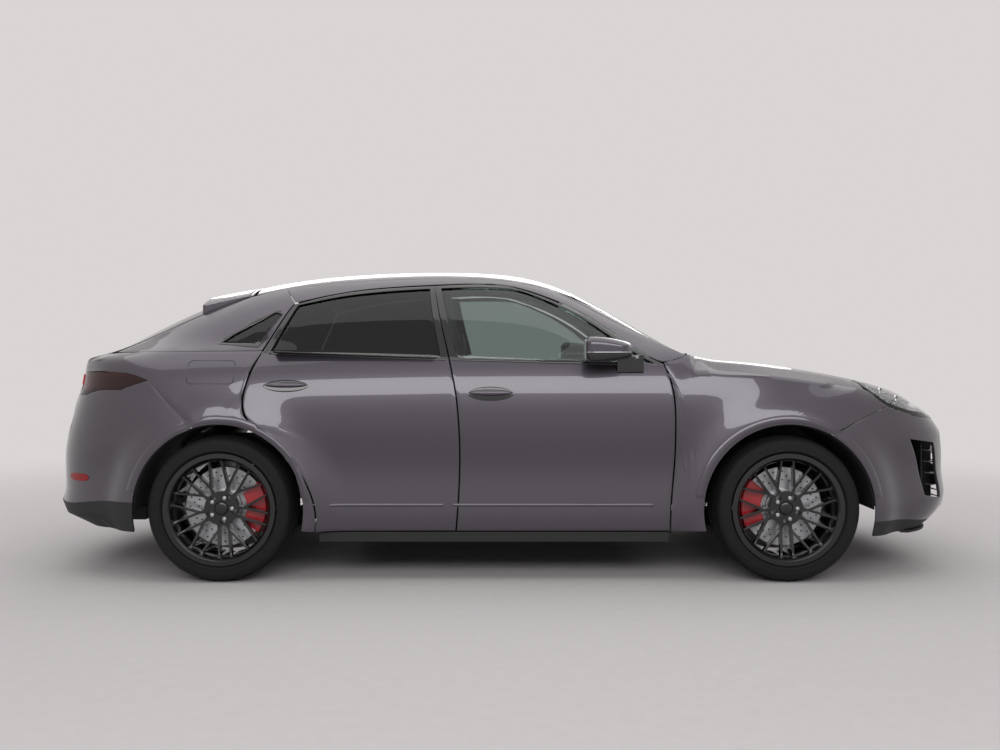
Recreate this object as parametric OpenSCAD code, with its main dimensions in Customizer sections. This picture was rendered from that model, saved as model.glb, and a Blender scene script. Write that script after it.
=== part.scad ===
// Five-door coupe sport utility vehicle: hollow unibody with hinged doors, bonnet and tailgate,
// steered front wheels, turning wheels, brakes, axles and a furnished cabin.
// Frame: +X forward, +Y left, +Z up, floor at zero, origin below the middle of the body.

/* [Overall] */
// body length, bumper to bumper
body_length = 4930; // [4500:10:5300]
// body width over the wheel arches, mirrors left out
body_width = 1970; // [1850:5:2100]
// roof height above the floor
body_height = 1634; // [1560:2:1720]
// front axle ahead of the middle of the body
front_axle_x = 1445; // [1400:1:1480]
// rear axle behind the middle of the body
rear_axle_x = 1450; // [1410:1:1490]

/* [Wheels] */
// outer radius of the tyre
tyre_radius = 372; // [366:1:378]
// section width of the tyre
tyre_width = 286; // [270:1:295]
// distance of a wheel's mid plane from the car's middle
wheel_mid_y = 832; // [825:1:836]
// radius of the rim flange
rim_radius = 286; // [275:1:290]
// half width of the rim barrel
rim_half_width = 134; // [125:1:138]
// number of wheel bolts, and of forked spoke pairs
bolt_count = 5; // [5:1:5]
// radius at which a spoke forks
fork_radius = 113; // [108:1:120]
// turn of a fork from its wheel bolt
fork_angle = 13.5; // [12.5:0.5:15]
// turn of a spoke's near end from the bolt
near_tip_angle = 7; // [6:0.5:8]
// turn of a spoke's far end from the bolt
far_tip_angle = 29; // [27:0.5:30]
// width of one spoke leg
spoke_width = 14; // [12:0.5:15]
// brake disc radius
disc_radius = 205; // [190:1:215]
// radius of the wheel bolt circle
bolt_circle_radius = 65; // [60:0.5:70]
// radius of a wheel bolt hole
bolt_hole_radius = 13; // [10:0.5:15]
// radius of the centre bore of the wheel
hub_bore_radius = 36; // [30:0.5:40]

/* [Panels] */
// shut gap between neighbouring panels
panel_gap = 8; // [7:0.5:9]
// thickness of a door below the window
door_depth = 92; // [80:1:100]
// thickness of a door's window frame
frame_depth = 36; // [30:1:40]
// thickness of a door along its hinged edge
door_edge_depth = 34; // [28:1:40]
// width of the window frame around the glass
frame_width = 38; // [30:1:48]
// thickness of the glass
glass_depth = 5; // [4:0.5:6]
// thickness of outer body panels
panel_depth = 16; // [12:1:20]
// thickness of bonnet and tailgate
lid_depth = 24; // [18:1:30]
// radius of a wheel arch opening
arch_radius = 436; // [430:1:442]
// half width that the wheel arch flares reach
flare_half_width = 985; // [975:1:990]
// radius at which a flare has run out into the side
flare_reach = 605; // [590:5:620]

/* [Hinges] */
// front door hinge axis behind the foot of its shut line
front_hinge_back = 101; // [98:0.5:106]
// rear door hinge axis behind the foot of its shut line
rear_hinge_back = 55.5; // [53:0.5:60]
// door hinge axis inside the half width
door_hinge_in = 65; // [62:0.5:66]
// radius of the hinge pins
pin_radius = 5; // [4:0.5:6]
// outer radius of the hinge eyes
eye_radius = 9; // [8:0.5:10]
// height of a hinge strap
strap_height = 40; // [30:1:50]
// bonnet hinge axis behind the front edge of the cowl
bonnet_hinge_back = 9; // [7:0.5:11]
// bonnet hinge axis below the bonnet's underside
bonnet_hinge_drop = 9; // [6:0.5:12]
// tailgate hinge axis below the tailgate's underside
gate_hinge_drop = 10; // [6:0.5:12]

/* [Hidden] */
hl = body_length / 2;
hw = body_width / 2;
half_gap = panel_gap / 2;
// gap between pieces that are fixed to each other, and round a lamp
seam = 0.3;
fixed_gap = 0.8;
wheel_z = tyre_radius;
body_dims = [hl, hw, body_height];
$fa = 4;
$fs = 4;

// shares of the body height and of the half width: the lower side seen from the front, sill to shoulder
section_shares = [[0.125, 0.914], [0.15, 0.939], [0.17, 0.950], [0.20, 0.953], [0.245, 0.948],
    [0.295, 0.938], [0.345, 0.934], [0.40, 0.944], [0.45, 0.957], [0.50, 0.963], [0.55, 0.960],
    [0.60, 0.948], [0.645, 0.929], [0.675, 0.909], [0.70, 0.884], [0.72, 0.850], [0.745, 0.792],
    [0.77, 0.70], [0.80, 0.50]];
// shares of the height and of the half length: the nose on the middle line, lip to cowl
nose_shares = [[0.125, 0.925], [0.159, 0.955], [0.184, 0.976], [0.223, 0.993], [0.263, 1.0],
    [0.304, 0.994], [0.343, 0.993], [0.384, 0.994], [0.444, 0.989], [0.48, 0.977], [0.525, 0.947],
    [0.582, 0.886], [0.616, 0.823], [0.630, 0.783], [0.646, 0.730], [0.664, 0.657], [0.676, 0.60],
    [0.685, 0.54], [0.690, 0.487], [0.694, 0.438], [0.735, 0.392], [0.80, 0.385]];
// shares of the height and of the half length: the tail on the middle line, bumper to deck
tail_shares = [[0.125, 0.90], [0.158, 0.941], [0.184, 0.982], [0.208, 1.0], [0.245, 0.997],
    [0.275, 0.992], [0.312, 0.995], [0.378, 0.996], [0.444, 0.988], [0.501, 0.976], [0.551, 0.968],
    [0.578, 0.962], [0.60, 0.954], [0.652, 0.95], [0.673, 0.95], [0.698, 0.944], [0.710, 0.917],
    [0.722, 0.888], [0.747, 0.852], [0.80, 0.80]];
// shares of the half length and of the height: windscreen, roof and rear window on the middle line
roof_shares = [[-0.94, 0.66], [-0.89, 0.704], [-0.858, 0.734], [-0.817, 0.7735], [-0.753, 0.826],
    [-0.664, 0.887], [-0.579, 0.936], [-0.4945, 0.964], [-0.3825, 0.985], [-0.251, 0.997],
    [-0.167, 1.0], [-0.081, 0.999], [-0.009, 0.993], [0.041, 0.984], [0.085, 0.969], [0.1525, 0.929],
    [0.222, 0.874], [0.291, 0.815], [0.365, 0.749], [0.44, 0.68], [0.50, 0.62]];
// shares of the half length and of the half width: the cabin at its base
cabin_shares = [[-0.94, 0.63], [-0.89, 0.675], [-0.77, 0.745], [-0.65, 0.80], [-0.53, 0.845],
    [-0.365, 0.874], [-0.12, 0.887], [0.12, 0.886], [0.245, 0.875], [0.365, 0.85], [0.44, 0.812],
    [0.50, 0.76]];
// share of the height at which the cabin sits on the body
cabin_base_share = 0.673;
// roundness of the cabin seen from the front
cabin_side_power = 1.2;
cabin_top_power = 5.1;
// squareness of the body ends seen from above and the share of the half length where they start
plan_power = 4.2;
plan_start_share = 0.365;
// softness of the edge between cabin and shoulder
shoulder_blend_share = 0.012;

function lerp(a, b, t) = a + (b - a) * t;
function clamp01(t) = min(1, max(0, t));
function ease(t) = let (u = clamp01(t)) u * u * (3 - 2 * u);
function unit(v) = v / norm(v);
function spot(t, x, i = 0) = (i >= len(t) - 2 || x < t[i + 1][0]) ? i : spot(t, x, i + 1);
function rise(t, i) = let (a = max(i - 1, 0), b = min(i + 1,
    len(t) - 1)) (t[b][1] - t[a][1]) / (t[b][0] - t[a][0]);
// smooth value of a table of pairs at x
function at(t, x) = let (i = spot(t, x), h = t[i + 1][0] - t[i][0], u = clamp01((x - t[i][0]) / h),
        a = t[i][1], b = t[i + 1][1], ma = rise(t, i) * h, mb = rise(t, i + 1) * h)
    a + u * (ma + u * (3 * (b - a) - 2 * ma - mb + u * (2 * (a - b) + ma + mb)));
// point at share u of a smooth line through points
function along(p, u) = let (n = len(p) - 1, f = clamp01(u) * n, i = min(floor(f), n - 1), t = f - i,
        a = p[max(i - 1, 0)], b = p[i], c = p[i + 1], d = p[min(i + 2, n)])
    0.5 * (2 * b + t * (c - a) + t * t * (2 * a - 5 * b + 4 * c - d) + t * t * t * (3 * b - a - 3 * c + d));
function line(p, n) = [for (i = [0:n]) along(p, i / n)];
// a side-view line moved sideways by d, to the right of its run
function beside(p, d) = [for (i = [0:len(p) - 1])
    let (t = unit(p[min(i + 1, len(p) - 1)] - p[max(i - 1, 0)])) p[i] + d * [t[1], -t[0]]];
// side-view points given as shares of half length and height
function side_points(s) = [for (q = s) [q[0] * hl, q[1] * body_height]];

function section_y(z) = hw * at(section_shares, z / body_height);
function nose_x(z) = hl * at(nose_shares, z / body_height);
function tail_x(z) = hl * at(tail_shares, z / body_height);
plan_start = plan_start_share * hl;
function end_x(z, front) = front ? nose_x(z) : tail_x(z);
function taper(u) = u <= 0 ? 1 : u >= 1 ? 0 : pow(1 - pow(u, plan_power), 1 / plan_power);
function lower_y(x, z) = section_y(z) * taper((abs(x) - plan_start) / (end_x(z, x > 0) - plan_start));
function roof_z(x) = body_height * at(roof_shares, x / hl);
function cabin_w(x) = hw * at(cabin_shares, x / hl);
cabin_base = cabin_base_share * body_height;
function cabin_y(x, z) = let (h = roof_z(x) - cabin_base, t = h < half_gap ? 1 : (z - cabin_base) / h)
    t >= 1 ? 0 : cabin_w(x) * pow(1 - pow(max(0, t), cabin_side_power), 1 / cabin_top_power);
function cabin_z(x, y) = cabin_base + (roof_z(x) - cabin_base)
    * pow(max(0, 1 - pow(abs(y) / cabin_w(x), cabin_top_power)), 1 / cabin_side_power);
function flare_at(x, z) = let (a = x > 0 ? front_axle_x : -rear_axle_x,
        r = norm([x - a, z - wheel_z]))
    1 - ease((r - arch_radius - panel_depth) / (flare_reach - arch_radius));
function flared(y, x, z) = y + max(0, flare_half_width - y) * flare_at(x, z);
blend = shoulder_blend_share * hw;
function skin_y(x, z) = let (a = lower_y(x, z), b = cabin_y(x, z),
        m = (a + b + sqrt((a - b) * (a - b) + blend * blend)) / 2) flared(m, x, z);
// height of the lower body's top at a place seen from above, by halving
search_shares = [0.5, 0.75];
search_steps = 17;
function lower_z(x, y, lo = search_shares[0] * body_height, hi = search_shares[1] * body_height,
        k = 0) = let (m = (lo + hi) / 2)
    k > search_steps ? m : lower_y(x, m) > abs(y) ? lower_z(x, y, m, hi, k + 1) : lower_z(x, y, lo, m, k + 1);
// a place on the body's end by plan angle and height, nose or tail, on the right side
function end_point(angle, z, front) = let (e = 2 / plan_power, w = section_y(z), l = end_x(z,
    front) - plan_start,
        x = plan_start + l * pow(max(0, cos(angle)), e), y = w * pow(max(0, sin(angle)), e), sx = front ?
            x : -x)
    [sx, -flared(y, sx, z), z];
// plan angle of a side-view place on the nose or tail
function end_angle(x, z, front) = let (u = clamp01((abs(x) - plan_start) / (end_x(z, front) - plan_start)))
    acos(pow(u, plan_power / 2));

// faces of a closed slab between two point grids, with cells left open
function is_open(i, j,
    holes) = len([for (h = holes) if (i >= h[0] && i < h[1] && j >= h[2] && j < h[3]) 1]) > 0;
function has(i, j, r, c, holes) = i >= 0 && j >= 0 && i < r && j < c && !is_open(i, j, holes);
function slab_faces(r, c, holes) = let (n = (r + 1) * (c + 1)) [for (i = [0:r - 1]) for (j = [0:c - 1])
    if (has(i, j, r, c, holes))
        let (a = i * (c + 1) + j, b = a + 1, d = a + c + 1, e = d + 1,
            rims = concat(has(i - 1, j, r, c, holes) ? [] : [[b, a]], has(i, j + 1, r, c, holes) ? [] :
                [[e, b]],
                has(i + 1, j, r, c, holes) ? [] : [[d, e]], has(i, j - 1, r, c, holes) ? [] : [[a, d]]))
        each concat([[a, b, e], [a, e, d], [a + n, e + n, b + n], [a + n, d + n, e + n]],
            [for (w = rims) each [[w[0], w[1], w[1] + n], [w[0], w[1] + n, w[0] + n]]])];
module slab(outer, inner, holes = [])
    polyhedron(points = [for (g = [outer, inner]) for (row = g) each row],
        faces = slab_faces(len(outer) - 1, len(outer[0]) - 1, holes));
// borders of a grid drawn in by d, and by no more than a share of the next cell
cell_share = 0.4;
function drawn(p, q, d) = (q - p) * min(d / max(norm(q - p), seam), cell_share);
function border_step(g, i, j, d) = let (m = len(g) - 1, n = len(g[0]) - 1, p = g[i][j])
    (i == 0 ? drawn(p, g[1][j], d) : i == m ? drawn(p, g[m - 1][j], d) : [0, 0, 0])
    + (j == 0 ? drawn(p, g[i][1], d) : j == n ? drawn(p, g[i][n - 1], d) : [0, 0, 0]);
function trimmed(g, d) = [for (i = [0:len(g) - 1]) [for (j = [0:len(g[0]) - 1])
    g[i][j] + border_step(g, i, j, d)]];
// lean of a panel's edges, as a share of its depth
lean_share = 0.5;
function leaned(outer, inner) = [for (i = [0:len(inner) - 1]) [for (j = [0:len(inner[0]) - 1])
    inner[i][j] + border_step(inner, i, j, lean_share * norm(inner[i][j] - outer[i][j]))]];
// a body panel: a slab whose edges lean in, so that it clears its neighbours behind the seam
module panel(outer, inner, holes = []) slab(outer, leaned(outer, inner), holes);
function step_i(g, i, j) = g[min(i + 1, len(g) - 1)][j] - g[max(i - 1, 0)][j];
function step_j(g, i, j) = g[i][min(j + 1, len(g[0]) - 1)] - g[i][max(j - 1, 0)];
function inset(g, d) = [for (i = [0:len(g) - 1]) [for (j = [0:len(g[0]) - 1])
    g[i][j] - d * unit(cross(step_i(g, i, j), step_j(g, i, j)))]];
function pushed(g, v) = [for (row = g) [for (p = row) p + v]];
function part_of(g, i0, i1, j0, j1) = [for (i = [i0:i1]) [for (j = [j0:j1]) g[i][j]]];
// right side grid between two side-view lines
function side_grid(a, b, shares) = [for (i = [0:len(a) - 1]) [for (s = shares)
    let (p = lerp(a[i], b[i], s)) [p[0], -skin_y(p[0], p[1]), p[1]]]];
module both_sides() {
    children();
    mirror([0, 1, 0]) children();
}
// a block by its ranges along X, Y and Z, given as shares of half length, half width and height
module block(r) {
    lo = [for (k = [0:2]) r[k][0] * body_dims[k]];
    hi = [for (k = [0:2]) r[k][1] * body_dims[k]];
    translate(lo) cube(hi - lo);
}

// side-view shut lines, as shares of half length and height, from the sill up
line_a_low_shares = [[0.344, 0.160], [0.345, 0.241], [0.353, 0.353], [0.3545, 0.446], [0.354, 0.556],
    [0.346, 0.632], [0.3325, 0.683]];
line_a_high_shares = [[0.3325, 0.683], [0.302, 0.702], [0.255, 0.755], [0.206, 0.813], [0.142, 0.868],
    [0.078, 0.908], [0.013, 0.938]];
line_b_low_shares = [[-0.100, 0.160], [-0.0955, 0.241], [-0.0925, 0.353], [-0.0925, 0.446],
    [-0.0975, 0.556], [-0.106, 0.632], [-0.116, 0.700]];
line_b_high_shares = [[-0.116, 0.700], [-0.123, 0.745], [-0.131, 0.790], [-0.138, 0.835],
    [-0.144, 0.880], [-0.148, 0.913], [-0.152, 0.9385]];
line_c_low_shares = [[-0.389, 0.160], [-0.389, 0.245], [-0.424, 0.360], [-0.477, 0.447],
    [-0.533, 0.508], [-0.5415, 0.60], [-0.511, 0.7215]];
line_c_high_shares = [[-0.511, 0.7215], [-0.502, 0.7475], [-0.4925, 0.774], [-0.483, 0.80],
    [-0.473, 0.828], [-0.463, 0.856], [-0.4525, 0.8775]];
top_front_shares = [[0.013, 0.938], [-0.03, 0.9445], [-0.09, 0.9435], [-0.152, 0.9385]];
top_rear_shares = [[-0.152, 0.9385], [-0.25, 0.931], [-0.3525, 0.913], [-0.4525, 0.8775]];
// places of the hinges, from the pieces that carry them
front_hinge_x = line_a_low_shares[0][0] * hl - front_hinge_back;
rear_hinge_x = rear_hinge_back - line_b_low_shares[0][0] * hl;
door_hinge_y = hw - door_hinge_in;
hinge_z_shares = [0.193, 0.52];
hinge_heights = hinge_z_shares * body_height;
low_rows = 10;
high_rows = 6;
door_cols = 10;
function shut_line(low, high) = concat(line(side_points(low), low_rows),
    [for (i = [1:high_rows]) along(side_points(high), high_share[i])]);
// how far up the window each row lies
high_share = [0, 0.2, 0.4, 0.6, 0.8, 0.93, 1];
line_a = shut_line(line_a_low_shares, line_a_high_shares);
line_b = shut_line(line_b_low_shares, line_b_high_shares);
line_c = shut_line(line_c_low_shares, line_c_high_shares);
door_rows = low_rows + high_rows;

// a door: rows from sill to roof between two shut lines, columns from front to rear
function door_share(i, j, width) = let (even = j / door_cols, f = frame_width / width,
        framed = j == 0 ? 0 : j == door_cols ? 1 : lerp(f, 1 - f, (j - 1) / (door_cols - 2)))
    lerp(even, framed, ease((i - low_rows / 2) / (low_rows / 2)));
function door_place(f, r, top, i, s) = let (up = clamp01((i - low_rows) / high_rows), n = len(f) - 1)
    lerp(f[i], r[i], s) + up * (along(top, s) - lerp(f[n], r[n], s));
function door_grid(f, r, top) = [for (i = [0:door_rows]) [for (j = [0:door_cols])
    let (p = door_place(f, r, top, i, door_share(i, j, norm(f[i] - r[i])))) [p[0], -skin_y(p[0], p[1]),
        p[1]]]];
// slimming of a door's inner side along its free edge
edge_taper = 14;
function door_inner(g) = [for (i = [0:door_rows]) [for (j = [0:door_cols])
    let (d = i > low_rows ? frame_depth : j == 0 ? door_edge_depth : door_depth)
    g[i][j] + [j == door_cols ? edge_taper : 0, d, 0]]];
window_hole = [low_rows, door_rows - 1, 1, door_cols - 1];
front_top = beside(side_points(top_front_shares), half_gap);
rear_top = beside(side_points(top_rear_shares), half_gap);
front_door_grid = door_grid(beside(line_a, -half_gap), beside(line_b, half_gap), flip_down(front_top));
rear_door_grid = door_grid(beside(line_b, -half_gap), beside(line_c, half_gap), flip_down(rear_top));
// the door's own top edge lies one gap below the rail
function flip_down(p) = [for (q = p) q - [0, panel_gap]];
glass_inset = 12;
running_gap = 0.05;
strap_room = 3;
notch_skin = 12;
strap_half = eye_radius - strap_room / 2;
// room for one strap in the door's front edge, open to the front and to the inside
module hinge_notch(hx, hz) translate([hx - eye_radius - strap_room, -door_hinge_y - notch_skin,
    hz - strap_height / 2 - strap_room])
    cube([2 * door_hinge_y, door_hinge_y, strap_height + 2 * strap_room]);
module hinge_pin(hx, hz) translate([hx, -door_hinge_y, hz - strap_height / 2 - 2 * strap_room])
    cylinder(h = strap_height + 4 * strap_room, r = pin_radius);
module door_solid(g, hx) {
    difference() {
        slab(g, door_inner(g), [window_hole]);
        for (z = hinge_heights) hinge_notch(hx, z);
    }
    for (z = hinge_heights) hinge_pin(hx, z);
}
// strap from a post out to the hinge axis, with a bore for the pin
module hinge_strap(hx, from_y, hz) difference() {
    union() {
        translate([hx - strap_half, -door_hinge_y, hz - strap_height / 2]) cube([2 * strap_half,
            door_hinge_y - from_y, strap_height]);
        translate([hx, -door_hinge_y, hz - strap_height / 2]) cylinder(h = strap_height, r = eye_radius);
    }
    translate([hx, -door_hinge_y, hz - strap_height]) cylinder(h = 2 * strap_height,
        r = pin_radius + running_gap);
}
module glass_solid(g) {
    w = part_of(g, window_hole[0], window_hole[1], window_hole[2], window_hole[3]);
    slab(pushed(w, [0, glass_inset, 0]), pushed(w, [0, glass_inset + glass_depth, 0]));
}

paint_colour = [0.37, 0.35, 0.39];
black_colour = [0.07, 0.07, 0.08];
glass_colour = [0.25, 0.28, 0.30, 0.5];
steel_colour = [0.55, 0.56, 0.58];
red_colour = [0.75, 0.08, 0.08];
trim_colour = [0.16, 0.16, 0.17];

module door_fr() color(paint_colour) door_solid(front_door_grid, front_hinge_x);
module door_fl() color(paint_colour) mirror([0, 1, 0]) door_solid(front_door_grid, front_hinge_x);
module door_rr() color(paint_colour) door_solid(rear_door_grid, -rear_hinge_x);
module door_rl() color(paint_colour) mirror([0, 1, 0]) door_solid(rear_door_grid, -rear_hinge_x);
module glass_fr() color(glass_colour) glass_solid(front_door_grid);
module glass_fl() color(glass_colour) mirror([0, 1, 0]) glass_solid(front_door_grid);
module glass_rr() color(glass_colour) glass_solid(rear_door_grid);
module glass_rl() color(glass_colour) mirror([0, 1, 0]) glass_solid(rear_door_grid);

// mirror on the front door: a rounded head on a foot
mirror_head_shares = [[0.165, 0.265], [-1.10, -0.925], [0.685, 0.768]];
mirror_foot_shares = [[0.235, 0.29], [-0.935, -0.905], [0.655, 0.70]];
mirror_round = 36;
module mirror_solid() {
    b = mirror_head_shares;
    lo = [b[0][0] * hl + mirror_round, b[1][0] * hw + mirror_round, b[2][0] * body_height + mirror_round];
    hi = [b[0][1] * hl - mirror_round, b[1][1] * hw - mirror_round, b[2][1] * body_height - mirror_round];
    hull() {
        for (x = [lo[0], hi[0]]) for (y = [lo[1], hi[1]]) for (z = [lo[2], hi[2]])
            translate([x, y, z]) sphere(mirror_round, $fn = 16);
    }
    difference() {
        block(mirror_foot_shares);
        slab(pushed(front_door_grid, [0, -seam, 0]), door_inner(front_door_grid));
    }
}
module mirror_fr() color(paint_colour) mirror_solid();
module mirror_fl() color(paint_colour) mirror([0, 1, 0]) mirror_solid();

// roof side: the strip between the doors' windows and the windscreen, roof and tailgate
roof_edge_share = 0.594;
screen_foot_share = 0.735;
screen_foot_x_share = 0.432;
screen_head_x_share = 0.15;
roof_end_x_share = -0.548;
function edge_y(x) = hw * lerp(roof_edge_share, screen_foot_share,
    ease((x / hl - screen_head_x_share) / (screen_foot_x_share - screen_head_x_share)));
function roof_edge(x) = [x, cabin_z(x, edge_y(x))];
rail_shares = [0.385, 0.35, 0.31, 0.25, 0.19, 0.13, 0.07, 0.013, -0.05, -0.10, -0.152, -0.22,
    -0.29, -0.36, -0.42, -0.48];
rail_upper = [for (s = rail_shares) roof_edge(s * hl)];
// rows of the rail beside the windscreen pillar, the front door's top and the rear door's top
rail_rows = [7, 3, 5];
function rail_run(shares, k, first) = [for (i = [first:rail_rows[k]]) along(side_points(shares),
    i / rail_rows[k])];
rail_lower = concat(rail_run(line_a_high_shares, 0, 0), rail_run(top_front_shares, 1, 1),
    rail_run(top_rear_shares, 2, 1));
rail_cols = [0, 0.34, 0.67, 1];
module rail_solid() {
    g = side_grid(rail_upper, beside(rail_lower, half_gap), rail_cols);
    flat = pushed(g, [0, rail_depth, 0]);
    deep = inset(g, rail_depth);
    panel(g, [for (i = [0:len(g) - 1]) [for (j = [0:len(rail_cols) - 1]) lerp(deep[i][j], flat[i][j],
        rail_cols[j])]]);
}
rail_depth = 28;
module roof_rails() color(paint_colour) both_sides() rail_solid();

// rear pillar: belt line to roof edge, behind the rear door, around the quarter window
function tail_edge_y(x) = hw * lerp(roof_edge_share, tail_foot_share,
    ease((roof_end_x_share - x / hl) / tail_run_share));
tail_foot_share = 0.60;
tail_run_share = 0.30;
function tail_edge(x) = [x, cabin_z(x, tail_edge_y(x))];
pillar_foot_x_share = -0.845;
pillar_rows = 7;
pillar_rear = [for (i = [0:pillar_rows]) tail_edge(hl * lerp(pillar_foot_x_share,
    rail_shares[len(rail_shares) - 1], i / pillar_rows))];
pillar_front = [for (i = [0:pillar_rows]) along(side_points(line_c_high_shares), i / pillar_rows)];
quarter_glass_shares = [0.36, 0.345, 0.33, 0.29, 0.24, 0.19, 0.15, 0.14];
// columns of the pillar: its front edge, the quarter window, and the sheet behind it
pillar_frame_share = 0.06;
pillar_sheet_shares = [0.35, 0.7];
pillar_cols = 6;
function pillar_col(i, j) = let (q = quarter_glass_shares[i], f = pillar_frame_share)
    [0, f, (f + q) / 2, q, lerp(q, 1, pillar_sheet_shares[0]), lerp(q, 1, pillar_sheet_shares[1]), 1][j];
pillar_grid = [for (i = [0:pillar_rows]) [for (j = [0:pillar_cols]) let (a = beside(pillar_front,
    -half_gap)[i],
    p = lerp(a, pillar_rear[i], pillar_col(i, j))) [p[0], -skin_y(p[0], p[1]), p[1]]]];
quarter_hole = [1, 5, 1, 3];
pillar_turn = [0, 0, 0, 0, 0, 0.5, 1];
module rear_pillars() color(paint_colour) both_sides() {
    flat = pushed(pillar_grid, [0, rail_depth, 0]);
    deep = inset(pillar_grid, rail_depth);
    panel(pillar_grid, [for (i = [0:pillar_rows]) [for (j = [0:pillar_cols]) lerp(flat[i][j], deep[i][j],
        i == 0 ? 0 : pillar_turn[j])]], [quarter_hole]);
}
quarter_glass_in = 8;
module quarter_windows() color(glass_colour) both_sides() {
    w = part_of(pillar_grid, quarter_hole[0], quarter_hole[1], quarter_hole[2], quarter_hole[3]);
    slab(pushed(w, [0, quarter_glass_in, 0]), pushed(w, [0, quarter_glass_in + glass_depth, 0]));
}

// lower rear quarter: wheel arch and bumper cut below, rear door and belt above
arch_foot_angle = -14;
rear_cut_angle = 107;
function arch_point(axle, angle) = [axle + arch_radius * cos(angle), wheel_z + arch_radius * sin(angle)];
deck_end_shares = [-0.885, -0.918];
quarter_top_cols = 8;
quarter_top = concat([for (i = [1:quarter_top_cols]) lerp(pillar_front[0], pillar_rear[0],
    i / quarter_top_cols) - [0, seam]],
    [for (s = deck_end_shares) [s * hl, lower_z(s * hl, tail_edge_y(s * hl))]]);
rear_cut_shares = [[-0.70, 0.56], [-0.745, 0.63], [-0.79, 0.652], [-0.87, 0.654], [-0.9262, 0.653]];
quarter_arch_cols = 15;
quarter_cut_cols = 4;
// the row at which the door's edge comes nearest to the arch, and the arch angles of the rows
near_row = 6;
near_angle = 64;
belt_angle = 92;
quarter_angles = [[0, arch_foot_angle], [near_row, near_angle], [low_rows, belt_angle],
    [quarter_arch_cols, rear_cut_angle]];
quarter_low = concat([for (i = [0:quarter_arch_cols]) arch_point(-rear_axle_x, lookup(i, quarter_angles))],
    beside(line(side_points(rear_cut_shares), quarter_cut_cols), fixed_gap));
quarter_high = concat([for (i = [0:low_rows]) line_c[i]], quarter_top);
quarter_cols = [0, 0.2, 0.4, 0.6, 0.8, 1];
quarter_edge = [for (i = [0:len(quarter_high) - 1]) i < low_rows ? beside(quarter_high, -half_gap)[i] :
    quarter_high[i]];
quarter_grid = side_grid(quarter_edge, quarter_low, quarter_cols);
module quarter_panels() color(paint_colour) both_sides() {
    g = quarter_grid;
    flat = pushed(g, [0, panel_depth, 0]);
    deep = inset(g, panel_depth);
    panel(g, [for (i = [0:len(g) - 1]) i < len(g) - len(deck_end_shares) ? flat[i] : deep[i]]);
}

// roof skin between the rails
roof_rows = 12;
roof_cols = 8;
function roof_grid(x0, x1, rows, cols, trim) = [for (i = [0:rows]) [for (j = [0:cols])
    let (x = lerp(x0, x1, i / rows), y = lerp(-1, 1, j / cols) * (edge_y(x) - trim)) [x, y, cabin_z(x,
        y)]]];
module roof() color(paint_colour) {
    g = roof_grid(roof_end_x_share * hl, screen_head_x_share * hl, roof_rows, roof_cols, fixed_gap);
    panel(g, inset(g, panel_depth));
}
screen_rows = 9;
module windscreen() color(glass_colour) {
    g = roof_grid(screen_head_x_share * hl + fixed_gap, screen_foot_x_share * hl, screen_rows, roof_cols,
        fixed_gap);
    panel(g, inset(g, glass_depth));
}

cowl_shares = [[0.345, 0.466], [-0.70, 0.70], [0.6002, 0.635]];
lid_bracket_y_share = 0.57;
// bonnet: from the cowl to above the grille, between the wings and the headlamps
bonnet_rear_share = 0.446;
bonnet_front_share = 0.9475;
bonnet_bow_share = 0.035;
bonnet_edge_shares = [[0.40, 0.755], [0.50, 0.745], [0.60, 0.735], [0.70, 0.715], [0.75, 0.70],
    [0.80, 0.665], [0.86, 0.60], [0.91, 0.53], [0.96, 0.45]];
function bonnet_edge(x) = hw * at(bonnet_edge_shares, x / hl);
bonnet_rows = 12;
bonnet_cols = 10;
function bonnet_point(t, v, trim) = let (x = lerp(bonnet_rear_share * hl,
    (bonnet_front_share - bonnet_bow_share * v * v) * hl - trim, t),
    y = v * (bonnet_edge(x) - trim)) [x, y, lower_z(x, y)];
// hinge axis of the bonnet, on brackets of the cowl
bonnet_hinge_x = cowl_shares[0][1] * hl - bonnet_hinge_back;
bonnet_hinge_z = lower_z(bonnet_hinge_x, lid_bracket_y_share * hw) - lid_depth - bonnet_hinge_drop;
bonnet_grid = [for (i = [0:bonnet_rows]) [for (j = [0:bonnet_cols])
    bonnet_point(i / bonnet_rows, lerp(-1, 1, j / bonnet_cols), half_gap)]];
lug_half = 14;
lug_rise = 17;
module lid_lug(x, z, y0) difference() {
    translate([x - lug_half, y0, z - lug_half]) cube([2 * lug_half, lid_bracket_width,
        lug_half + lug_rise]);
    translate([x, y0 - lid_bracket_width, z]) rotate([-90, 0, 0])
        cylinder(h = 3 * lid_bracket_width, r = pin_radius + running_gap);
}
module bonnet() color(paint_colour) {
    slab(bonnet_grid, inset(bonnet_grid, lid_depth));
    both_sides() lid_lug(bonnet_hinge_x, bonnet_hinge_z,
        -lid_bracket_y_share * hw + lid_bracket_width + lug_gap);
}

// front wing: arch below, door edge, bonnet edge and headlamp around
wing_foot_angle = 194;
wing_cut_angle = 62;
lamp_tip_share = 0.752;
lamp_nose_share = 0.925;
lamp_low_shares = [[0.752, 0.626], [0.781, 0.577], [0.806, 0.548], [0.849, 0.523], [0.892, 0.508],
    [0.93, 0.503]];
function bonnet_side(x, trim) = let (y = bonnet_edge(x) + trim) [x, lower_z(x, y)];
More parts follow.
